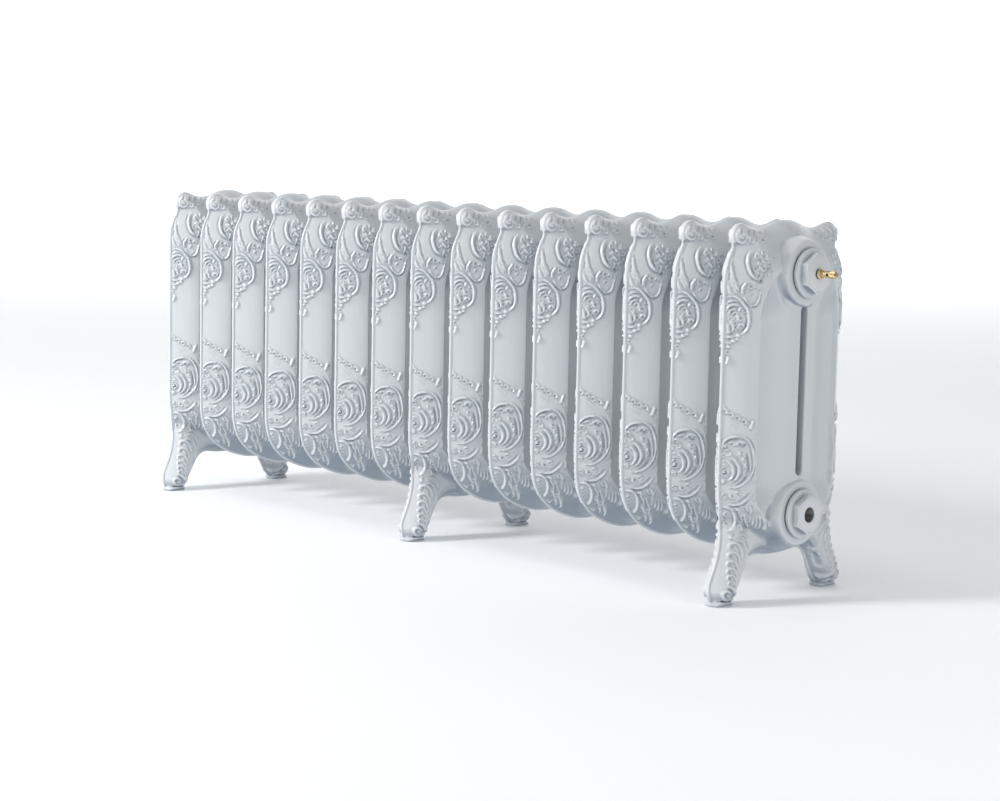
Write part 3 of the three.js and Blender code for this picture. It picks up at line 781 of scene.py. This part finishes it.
def edge_places(outline):
    """Rows at set distances inside the outline, square to it."""
    line = curve_through(outline, 1.4)
    tangent = np.gradient(line, axis=0)
    tangent /= np.maximum(np.linalg.norm(tangent, axis=1, keepdims=True), 1e-9)
    normal = np.column_stack([tangent[:, 1], -tangent[:, 0]])
    points = np.vstack([line + normal * row for row in EDGE_ROWS])
    wanted = np.repeat(EDGE_ROWS, len(line))
    return points[(np.abs(depth_in(points, outline) - wanted) < 0.12) & (points[:, 0] > 0.3)]


def hub_places(outline):
    rings = []
    for hub_z in HUB_LEVELS:
        for radius in HUB_ROWS:
            angle = np.radians(np.arange(-87, 90, 6 if radius < 37 else 3.6))
            rings.append(round_points(radius, hub_z, angle))
    rings = np.vstack(rings)
    return rings[(slot_distance(rings) > SLOT_CLEARANCE) & (depth_in(rings, outline) > EDGE_CLEARANCE)]


def slot_places():
    rows = []
    turn = np.linspace(0.06, math.pi / 2, 8)
    for row in SLOT_ROWS:
        radius = SLOT_HALF_WIDTH + row
        head = np.column_stack([radius * np.sin(turn), SLOT_HIGH + radius * np.cos(turn)])
        rows += [slot_foot(radius, turn), slot_side(radius), head]
    return np.vstack(rows)


def surface_normals(points, footed):
    step = 0.35
    slopes = []
    for shift in (np.array([[step, 0]]), np.array([[0, step]])):
        rise = base_width(points + shift, footed) - base_width(points - shift, footed)
        slopes.append(rise / (2 * step))
    normal = np.column_stack([np.ones(len(points)), -slopes[0], -slopes[1]])
    return normal / np.linalg.norm(normal, axis=1, keepdims=True)


def casting_mesh(name, footed):
    outline = half_outline(footed)
    loop, rims = boundary(outline)
    places = np.vstack([loop, flank_places(outline, footed), edge_places(outline),
                        hub_places(outline), slot_places()])
    ring = list(range(len(loop)))
    found = geometry.delaunay_2d_cdt([Vector(p) for p in places], [], [ring], 1, 1e-4, True)
    flat = np.array([v[:] for v in found[0]])
    triangles = np.array(found[2])
    triangles = triangles[inside(flat[triangles].mean(1), loop)]
    sources = np.array([s[0] if s else -1 for s in found[3]])
    on_outline = (sources >= 0) & (sources < len(outline))

    width = np.where(on_outline, 0, np.maximum(base_width(flat, footed), THINNEST))
    surface = np.column_stack([width, flat])
    height = ornament_height(flat, footed, width) * smoothstep(1.8, 5.5, depth_in(flat, outline))
    height *= smoothstep(0.5, 4, slot_distance(flat))
    for hub_z in HUB_LEVELS:
        height *= smoothstep(38.5, 44, hub_distance(flat, hub_z))
    lifted = np.abs(height) > 1e-3
    surface[lifted] += height[lifted, None] * surface_normals(flat[lifted], footed)
    surface[:, 0] = np.where(on_outline, 0, np.clip(surface[:, 0], 0.3, HUB_FACE))

    on_middle = np.abs(flat[:, 0]) < 1e-6
    vertices, faces = mirrored(surface, triangles, on_middle, on_outline)
    faces += rim_walls(vertices, rims)
    mesh = bpy.data.meshes.new(name)
    mesh.from_pydata((vertices * MM).tolist(), [], faces)
    mesh.validate()
    mesh.update()
    return finished_mesh(mesh, CASTING_SHARP_ANGLE)


def finished_mesh(mesh, sharp_angle):
    """The mesh with its faces turned outwards and only its real edges sharp."""
    work = bmesh.new()
    work.from_mesh(mesh)
    bmesh.ops.recalc_face_normals(work, faces=work.faces)
    work.to_mesh(mesh)
    work.free()
    mesh.shade_smooth()
    mesh.set_sharp_from_angle(angle=math.radians(sharp_angle))
    return mesh


def mirrored(surface, triangles, on_middle, on_outline):
    """Four copies of the quarter casting, welded along its outline and its middle plane."""
    count = len(surface)
    vertices, index = [], {}
    faces = []
    for side in (1, -1):
        for end in (1, -1):
            lookup = np.zeros(count, int)
            for i in range(count):
                key = (i, 1 if on_middle[i] else end, 1 if on_outline[i] else side)
                if key not in index:
                    index[key] = len(vertices)
                    x, y, z = surface[i]
                    vertices.append((x * key[2], y * key[1], z))
                lookup[i] = index[key]
            turned = lookup[triangles]
            faces += (turned if side * end > 0 else turned[:, ::-1]).tolist()
    return np.array(vertices), faces


def rim_walls(vertices, rims):
    """Walls through the casting, joining each bore's and the slot's rim on one side to the other."""
    places = {}
    for i, (_, y, z) in enumerate(vertices):
        places.setdefault((round(y, 3), round(z, 3)), []).append(i)
    walls = []
    for rim in rims:
        for end in (1, -1):
            line = [(round(y * end, 3), round(z, 3)) for y, z in rim]
            for a, b in zip(line[:-1], line[1:]):
                near = sorted(places[a], key=lambda i: vertices[i][0])
                far = sorted(places[b], key=lambda i: vertices[i][0])
                if near[0] != far[0]:
                    walls.append((near[0], near[-1], far[-1], far[0]))
    return walls


# ---- turned fittings ----
#
# Every fitting is turned about the x axis through a hub. A station is (x, radius) or
# (x, radius, form), where the form is a hexagon's flats, flutes or a thread laid over the round.

TURN_STEPS = 96
GASKET_OUTER, END_GASKET_OUTER = 30.2, 29.6
GASKET_INNER = 22.8
FLANGE_RADIUS = 30.5
FLANGE_SETBACK = 14.4
HEXAGON_FLATS = 44
HEXAGON_SETBACK = 9.4
THREAD_PITCH = 2.3
SMALL_PITCH = 1.1
NEEDLE_PITCH = 0.7
VALVE_BORE, VALVE_THREAD = 9.3, 0.9
VENT_BORE, VENT_THREAD = 5.0, 0.1
CUP_RADIUS = 13
KNOB_GRIP = 4.62


def hexagon(flats):
    """Reach of a hexagon whose flats face front and back, by angle."""
    def reach(x, radius, angle):
        off_flat = (angle + math.pi / 6) % (math.pi / 3) - math.pi / 6
        return min(radius, flats / 2 / math.cos(off_flat))
    return reach


def threaded(pitch, height):
    """A helical thread standing on the round."""
    def reach(x, radius, angle):
        turn = (x / pitch - angle / (2 * math.pi)) % 1
        return radius + height * (1 - abs(2 * turn - 1))
    return reach


def scored(count, depth):
    """Flutes along the axis."""
    def reach(x, radius, angle):
        return radius - depth * abs(math.sin(angle * count / 2))
    return reach


def thread_run(start, end, radius, pitch, height):
    """Stations along a thread, eight to a turn."""
    count = max(2, int(abs(end - start) / pitch * 8))
    form = threaded(pitch, height)
    return [(start + (end - start) * i / count, radius, form) for i in range(count + 1)]


def turned_mesh(name, stations, hollow=False, steps=TURN_STEPS):
    """A turned mesh. A hollow one is a ring whose stations close on themselves."""
    angles = [2 * math.pi * i / steps for i in range(steps)]
    vertices, faces = [], []
    for x, radius, *form in stations:
        for angle in angles:
            r = form[0](x, radius, angle) if form else radius
            vertices.append((x * MM, r * math.cos(angle) * MM, r * math.sin(angle) * MM))
    rings = len(stations)
    for i in range(rings if hollow else rings - 1):
        for j in range(steps):
            a, b = i * steps + j, i * steps + (j + 1) % steps
            c, d = ((i + 1) % rings) * steps + (j + 1) % steps, ((i + 1) % rings) * steps + j
            faces.append((a, b, c, d))
    if not hollow:
        faces.append(tuple(range(steps))[::-1])
        faces.append(tuple((rings - 1) * steps + j for j in range(steps)))
    mesh = bpy.data.meshes.new(name)
    mesh.from_pydata(vertices, [], faces)
    return finished_mesh(mesh, FITTING_SHARP_ANGLE)


def rounded(x0, r0, x1, r1, toward, steps=4):
    """Stations of a quarter round between two points, bulging toward "x" or "r" first."""
    out = []
    for i in range(steps + 1):
        t = i / steps * math.pi / 2
        early, late = math.sin(t), 1 - math.cos(t)
        if toward == "r":
            out.append((x0 + (x1 - x0) * late, r0 + (r1 - r0) * early))
        else:
            out.append((x0 + (x1 - x0) * early, r0 + (r1 - r0) * late))
    return out


def plug_stations(length):
    """The outside of a plug or bush, from its threaded spigot to its hexagon's end."""
    flange, hexagon_start = length - FLANGE_SETBACK, length - HEXAGON_SETBACK
    corner = HEXAGON_FLATS / math.sqrt(3)
    flats = hexagon(HEXAGON_FLATS)
    return [
        (0, 18.8), (1.2, 19.6), *thread_run(1.6, flange - 2.5, 19.6, THREAD_PITCH, 1.2),
        (flange - 2, 19.4), (flange - 0.01, 19.4), (flange, 29.2),
        *rounded(flange, 29.6, flange + 0.9, FLANGE_RADIUS, "r"),
        (hexagon_start - 1.6, FLANGE_RADIUS),
        *rounded(hexagon_start - 1.5, FLANGE_RADIUS, hexagon_start, 29, "x"),
        (hexagon_start + 0.3, 26.4), (hexagon_start + 0.7, corner + 0.8, flats),
        (hexagon_start + 1.4, corner + 0.3, flats), (length - 2.2, corner + 0.3, flats),
        *[(length - 2.2 + 2.0 * t, corner - 3.2 * t**1.6, flats) for t in (0.25, 0.5, 0.75, 0.9)],
        (length - 0.12, 21.6, flats), (length, 21.2, flats),
    ]


def ring_stations(half, inner, outer, edge=0.25):
    """A flat washer with its edges eased, half its thickness either way."""
    return [(-half, inner), (-half, outer - edge), (-half + edge, outer), (half - edge, outer),
            (half, outer - edge), (half, inner)]


def put(mesh, name, node, place, body, material, side=1):
    piece = linked(name, mesh)
    piece.location = [v * MM for v in place]
    if side < 0:
        piece.rotation_euler = (0, 0, math.pi)
    mesh.materials.clear()
    mesh.materials.append(material)
    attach(piece, body)
    if node:
        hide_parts(node)


def cut(mesh, cutters):
    """The mesh with the cutters' meshes taken away from it."""
    target = linked("cut_target", mesh)
    tools = []
    for i, cutter in enumerate(cutters):
        tool = linked(f"cut_tool_{i}", cutter)
        modifier = target.modifiers.new(f"cut_{i}", "BOOLEAN")
        modifier.object, modifier.operation, modifier.solver = tool, "DIFFERENCE", "EXACT"
        tools.append(tool)
    depsgraph = bpy.context.evaluated_depsgraph_get()
    result = bpy.data.meshes.new_from_object(target.evaluated_get(depsgraph))
    for piece in [target, *tools]:
        bpy.data.objects.remove(piece)
    result.name = mesh.name
    return finished_mesh(result, FITTING_SHARP_ANGLE)


def cross_hole(x, radius, reach, axis):
    """A drill through the x axis, square to it."""
    steps = 24
    vertices = []
    for end in (-reach, reach):
        for i in range(steps):
            a = 2 * math.pi * i / steps
            u, v = radius * math.cos(a), radius * math.sin(a)
            place = (x + u, end, v) if axis == "y" else (x + u, v, end)
            vertices.append([c * MM for c in place])
    faces = [(j, (j + 1) % steps, steps + (j + 1) % steps, steps + j) for j in range(steps)]
    faces += [tuple(range(steps))[::-1], tuple(range(steps, 2 * steps))]
    mesh = bpy.data.meshes.new("drill")
    mesh.from_pydata(vertices, [], faces)
    return finished_mesh(mesh, FITTING_SHARP_ANGLE)


# ---- materials ----

ENAMEL_OPEN, ENAMEL_BRIGHT = (0.69, 0.715, 0.735), (0.745, 0.77, 0.785)
# The enamel's edge colour is a painted highlight on sharp convex edges.
ENAMEL_PAINTED_HIGHLIGHT, ENAMEL_FRECKLE = (0.78, 0.80, 0.82), (0.60, 0.62, 0.63)
# The enamel's hollow colour is painted shade for the carving's hollows and for corners.
# The enamel's under colour is painted shade for faces turned towards the floor.
ENAMEL_PAINTED_SHADE, ENAMEL_PAINTED_UNDERSHADE = (0.38, 0.425, 0.48), (0.27, 0.32, 0.38)
IRON_DARK, IRON_LIGHT = (0.19, 0.19, 0.19), (0.30, 0.29, 0.28)
IRON_RUST, IRON_EDGE = (0.24, 0.13, 0.07), (0.45, 0.45, 0.44)
GRAPHITE_DARK, GRAPHITE_LIGHT = (0.035, 0.036, 0.038), (0.085, 0.088, 0.09)
GRAPHITE_EDGE = (0.15, 0.15, 0.155)
BRASS_DARK, BRASS_LIGHT = (0.58, 0.37, 0.15), (0.80, 0.57, 0.29)
BRASS_EDGE, BRASS_CORNER_DARK = (0.98, 0.86, 0.64), (0.13, 0.065, 0.025)


def new_material(name):
    material = bpy.data.materials.new(name)
    material.use_nodes = True
    return material, material.node_tree, material.node_tree.nodes["Principled BSDF"]


def add_node(tree, kind, output, inputs, **settings):
    """A new shader node's output. Each input is a number, a colour or another node's output."""
    node = tree.nodes.new("ShaderNode" + kind)
    for name, value in settings.items():
        setattr(node, name, value)
    for name, value in inputs.items():
        if isinstance(value, bpy.types.NodeSocket):
            tree.links.new(value, node.inputs[name])
        else:
            node.inputs[name].default_value = value
    return node.outputs[output]


def noise(tree, scale, detail=3, roughness=0.5, stretch=None):
    place = add_node(tree, "TexCoord", "Object", {})
    if stretch:
        place = add_node(tree, "Mapping", "Vector", {"Vector": place, "Scale": stretch})
    return add_node(tree, "TexNoise", "Fac", {"Vector": place, "Scale": scale, "Detail": detail,
                                              "Roughness": roughness})


def remap(tree, value, from_low, from_high, to_low=0, to_high=1):
    return add_node(tree, "MapRange", "Result", {
        "Value": value, "From Min": from_low, "From Max": from_high, "To Min": to_low,
        "To Max": to_high})


def uneven(tree, scale, detail, low, high):
    """A value that wanders over the surface, mostly between two ends."""
    return remap(tree, noise(tree, scale, detail), 0.3, 0.7, low, high)


def mix_colour(tree, factor, first, second):
    """One colour turning into another. The sockets have numbers, as their names repeat."""
    first, second = ((*c, 1) if isinstance(c, tuple) else c for c in (first, second))
    return add_node(tree, "Mix", 2, {0: factor, 6: first, 7: second}, data_type="RGBA")


def bump(tree, height, distance, strength, **below):
    inputs = {"Height": height, "Distance": distance, "Strength": strength, **below}
    return add_node(tree, "Bump", "Normal", inputs)


def pointed(tree, low, high):
    """0 to 1 as a place goes from flat to a sharp convex edge, or to a hollow if low is the higher."""
    return remap(tree, add_node(tree, "NewGeometry", "Pointiness", {}), low, high)


def shelter(tree, distance, dark_from, dark_to):
    """1 in corners and carved hollows, 0 in the open."""
    openness = add_node(tree, "AmbientOcclusion", "AO", {"Distance": distance}, samples=6)
    return remap(tree, openness, dark_from, dark_to)


def facing_down(tree):
    """0 to 1 as a surface turns towards the floor."""
    normal = add_node(tree, "NewGeometry", "Normal", {})
    return remap(tree, add_node(tree, "SeparateXYZ", "Z", {"Vector": normal}), -0.06, -0.62)


def wire(tree, shader, colour, roughness, normal):
    for socket, value in (("Base Color", colour), ("Roughness", roughness), ("Normal", normal)):
        tree.links.new(value, shader.inputs[socket])


def white_enamel():
    """Cool white, greyer with painted shade underneath and in the carving, with painted highlights on
    sharp edges, freckles and a glossy skin.
    """
    material, tree, shader = new_material("white_enamel")
    colour = mix_colour(tree, noise(tree, 7, 4), ENAMEL_OPEN, ENAMEL_BRIGHT)
    # Painted shade: greyer on faces that turn towards the floor.
    colour = mix_colour(tree, facing_down(tree), colour, ENAMEL_PAINTED_UNDERSHADE)
    # Painted highlight: paler on sharp convex edges, found by pointiness.
    colour = mix_colour(tree, pointed(tree, 0.505, 0.54), colour, ENAMEL_PAINTED_HIGHLIGHT)
    # Painted shade in the carving's hollows, found by pointiness.
    colour = mix_colour(tree, pointed(tree, 0.49, 0.43), colour, ENAMEL_PAINTED_SHADE)
    # Painted shade in corners and recesses, found by ambient occlusion.
    colour = mix_colour(tree, shelter(tree, 0.03, 0.75, 0.1), colour, ENAMEL_PAINTED_SHADE)
    freckle = remap(tree, noise(tree, 260, 2, 0.7), 0.74, 0.80, 0, 0.5)
    colour = mix_colour(tree, freckle, colour, ENAMEL_FRECKLE)
    skin = bump(tree, noise(tree, 160, 2), 0.0004, 0.18)
    grain = bump(tree, noise(tree, 620, 3, 0.6), 0.00012, 0.22, Normal=skin)
    wire(tree, shader, colour, uneven(tree, 28, 5, 0.27, 0.40), grain)
    shader.inputs["Coat Weight"].default_value = 0.25
    shader.inputs["Coat Roughness"].default_value = 0.12
    return material


def bare_iron():
    """Cut cast iron with a little rust."""
    material, tree, shader = new_material("bare_iron")
    colour = mix_colour(tree, noise(tree, 40, 5), IRON_DARK, IRON_LIGHT)
    rust = remap(tree, noise(tree, 120, 4, 0.7), 0.58, 0.72, 0, 0.7)
    colour = mix_colour(tree, rust, colour, IRON_RUST)
    colour = mix_colour(tree, pointed(tree, 0.52, 0.62), colour, IRON_EDGE)
    grain = bump(tree, noise(tree, 500, 4, 0.7), 0.0003, 0.3)
    wire(tree, shader, colour, uneven(tree, 90, 4, 0.38, 0.62), grain)
    shader.inputs["Metallic"].default_value = 0.85
    return material


def graphite_gasket():
    """Pressed dark fibre."""
    material, tree, shader = new_material("graphite_gasket")
    colour = mix_colour(tree, noise(tree, 180, 4, 0.7), GRAPHITE_DARK, GRAPHITE_LIGHT)
    colour = mix_colour(tree, pointed(tree, 0.52, 0.62), colour, GRAPHITE_EDGE)
    fibres = bump(tree, noise(tree, 900, 4, 0.7, stretch=(1, 0.3, 0.3)), 0.0002, 0.5)
    wire(tree, shader, colour, uneven(tree, 300, 3, 0.55, 0.8), fibres)
    return material


def turned_brass():
    """Turned brass: tool marks round its axis, bright edges and darker corners."""
    material, tree, shader = new_material("turned_brass")
    colour = mix_colour(tree, noise(tree, 260, 4), BRASS_DARK, BRASS_LIGHT)
    colour = mix_colour(tree, pointed(tree, 0.51, 0.60), colour, BRASS_EDGE)
    # Darker in corners and recesses, where ambient occlusion is deep.
    colour = mix_colour(tree, shelter(tree, 0.004, 0.85, 0.25), colour, BRASS_CORNER_DARK)
    tool_marks = bump(tree, noise(tree, 700, 2, 0.5, stretch=(6, 0.15, 0.15)), 0.00008, 0.5)
    wire(tree, shader, colour, uneven(tree, 420, 4, 0.24, 0.42), tool_marks)
    shader.inputs["Metallic"].default_value = 1
    shader.inputs["Anisotropic"].default_value = 0.3
    return material


ENAMEL, IRON = white_enamel(), bare_iron()
GRAPHITE, BRASS = graphite_gasket(), turned_brass()

# ---- assembly ----


def add_castings():
    meshes = {footed: casting_mesh("footed_casting" if footed else "plain_casting", footed)
              for footed in (False, True)}
    for node, x in zip(SECTION_NODES, SECTION_X):
        put(meshes[node in FOOTED], f"casting_{node[-2:]}", node, (x, 0, 0), "radiator",
            ENAMEL)


def add_joint_gaskets():
    """The gaskets between neighbouring hubs, which the CAD leaves out."""
    half = (PITCH - 2 * HUB_FACE) / 2 - 0.02
    mesh = turned_mesh("joint_gasket", ring_stations(half, GASKET_INNER, GASKET_OUTER), True)
    for i, x in enumerate(SECTION_X[:-1], 1):
        for level, z in (("top", TOP_HUB_Z), ("bottom", BOTTOM_HUB_Z)):
            put(mesh, f"joint_gasket_{level}_{i:02d}", None, (x + PITCH / 2, 0, z), "radiator",
                GRAPHITE)


def add_ring(node, inner, outer, edge=0.25, steps=TURN_STEPS):
    """A gasket or washer in its CAD node's place."""
    stations = ring_stations(node_length(node) / 2, inner, outer, edge)
    put(turned_mesh(node + "_ring", stations, True, steps), node + "_ring", node, node_centre(node),
        "radiator", GRAPHITE)


def add_end_fitting(node, bore=None, thread_height=0):
    """A plug or bush, drawn outwards from its spigot's end and bored if it has a bore."""
    length = node_length(node)
    low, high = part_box(node)
    side = 1 if low[0] > 0 else -1
    place = [(low[0] if side > 0 else high[0]) / MM, *node_centre(node)[1:]]
    stations = plug_stations(length)
    if bore:
        stations += [(length, bore + 1.4), (length - 1.2, bore + 0.2),
                     *thread_run(length - 1.4, 2, bore, THREAD_PITCH * 0.8, thread_height),
                     (0, bore + 0.8)]
    else:
        cup = length - HEXAGON_SETBACK
        stations = [(cup, 0.1), (cup, CUP_RADIUS), (0.6, CUP_RADIUS), (0, CUP_RADIUS + 0.6), *stations,
                    (length, 20, hexagon(HEXAGON_FLATS)), (length - 0.01, 0.1)]
    mesh = turned_mesh(node + "_turned", stations, bool(bore))
    put(mesh, node + "_turned", node, place, "radiator", ENAMEL, side)
    if bore:
        # The threaded bore is bare iron, and its dark iron also stands in for painted shade inside the
        # bore.
        mesh.materials.append(IRON)
        for face in mesh.polygons:
            radius = math.hypot(face.center.y, face.center.z) / MM
            if radius < bore + thread_height + 0.1 and face.center.x < (length - 1.3) * MM:
                face.material_index = 1


def put_vent_part(mesh, node, body):
    put(mesh, node + "_turned", node, node_start(node), body, BRASS)


def add_vent_body():
    """Threaded tail, round collar and barrel, with the outlet hole below."""
    length = node_length("vent_body")
    collar, barrel = length - 9.4, length - 6
    stations = [
        (0, 4.1), (0.5, 4.6), *thread_run(0.7, collar - 1.2, 4.35, SMALL_PITCH, 0.5),
        (collar - 1.1, 4.2), (collar, 4.2), (collar + 0.01, 5.6), (collar + 0.35, 5.95),
        (barrel - 0.6, 5.95), (barrel - 0.1, 5.5), (barrel, 4.9), (barrel + 0.25, 4.45),
        (length - 2.2, 4.4), (length - 2.0, 4.15), (length - 1.7, 4.15), (length - 1.5, 4.4),
        (length - 0.4, 4.4), (length, 4.0), (length, 2.3), (length - 0.4, 2.0), (4.2, 2.0),
        (3.2, 1.0), (0, 1.0)]
    outlet = cross_hole(barrel + 2, 0.9, 8, "z")
    for vertex in outlet.vertices:
        vertex.co.z = min(vertex.co.z, -0.5 * MM)
    mesh = turned_mesh("vent_body_turned", stations, True, 64)
    put_vent_part(cut(mesh, [outlet]), "vent_body", "radiator")


def add_vent_needle():
    """A pointed stem with a fine thread."""
    length = node_length("vent_needle")
    stations = [(0, 0.25), (0.1, 0.4), (1.6, 1.1), (2.0, 1.3),
                *thread_run(2.4, length - 7, 1.2, NEEDLE_PITCH, 0.35), (length - 6.6, 1.5),
                (length - 0.4, 1.5), (length, 1.1)]
    put_vent_part(turned_mesh("vent_needle_turned", stations, steps=40), "vent_needle", "needle")


def add_vent_knob():
    """A knob drilled both ways for a pin, with a fluted grip and a screwdriver slot."""
    length = node_length("vent_knob")
    flutes = scored(28, 0.28)
    stations = [
        (0, 2.1), (0, 3.9), (0.45, 4.45), (2.1, 4.5), (2.4, 4.1), (2.8, 4.1), (3.1, 4.5),
        (5.5, 4.5), (5.9, 4.1), (6.3, 4.1), (6.6, 4.45),
        *[(6.9 + i * 1.3, KNOB_GRIP, flutes) for i in range(7)],
        (length - 0.8, 4.5), (length - 0.2, 3.9), (length, 3.1), (length - 0.01, 0.3),
        (8.4, 0.3), (8.2, 2.1)]
    mesh = turned_mesh("vent_knob_turned", stations, True, 112)
    slot = bpy.data.meshes.new("slot_tool")
    work = bmesh.new()
    bmesh.ops.create_cube(work, size=1)
    for vertex in work.verts:
        x, y, z = vertex.co
        vertex.co = ((length + x * 2.4) * MM, y * 12 * MM, z * 1.1 * MM)
    work.to_mesh(slot)
    work.free()
    drills = [cross_hole(4.3, 1.75, 7, axis) for axis in "yz"]
    put_vent_part(cut(mesh, [*drills, slot]), "vent_knob", "knob")


make_camera()
make_stage()
add_castings()
add_joint_gaskets()
for node in sorted(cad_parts):
    if "gasket" in node:
        add_ring(node, GASKET_INNER, END_GASKET_OUTER)
add_end_fitting("blank_plug")
add_end_fitting("air_vent_plug", VENT_BORE, VENT_THREAD)
add_end_fitting("valve_bush_left", VALVE_BORE, VALVE_THREAD)
add_end_fitting("valve_bush_right", VALVE_BORE, VALVE_THREAD)
add_ring("vent_washer", 5.1, 6.3, 0.15, 48)
add_vent_body()
add_vent_needle()
add_vent_knob()
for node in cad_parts:
    if "nipple" in node:
        for slot in bpy.data.objects[node].material_slots:
            slot.material = IRON
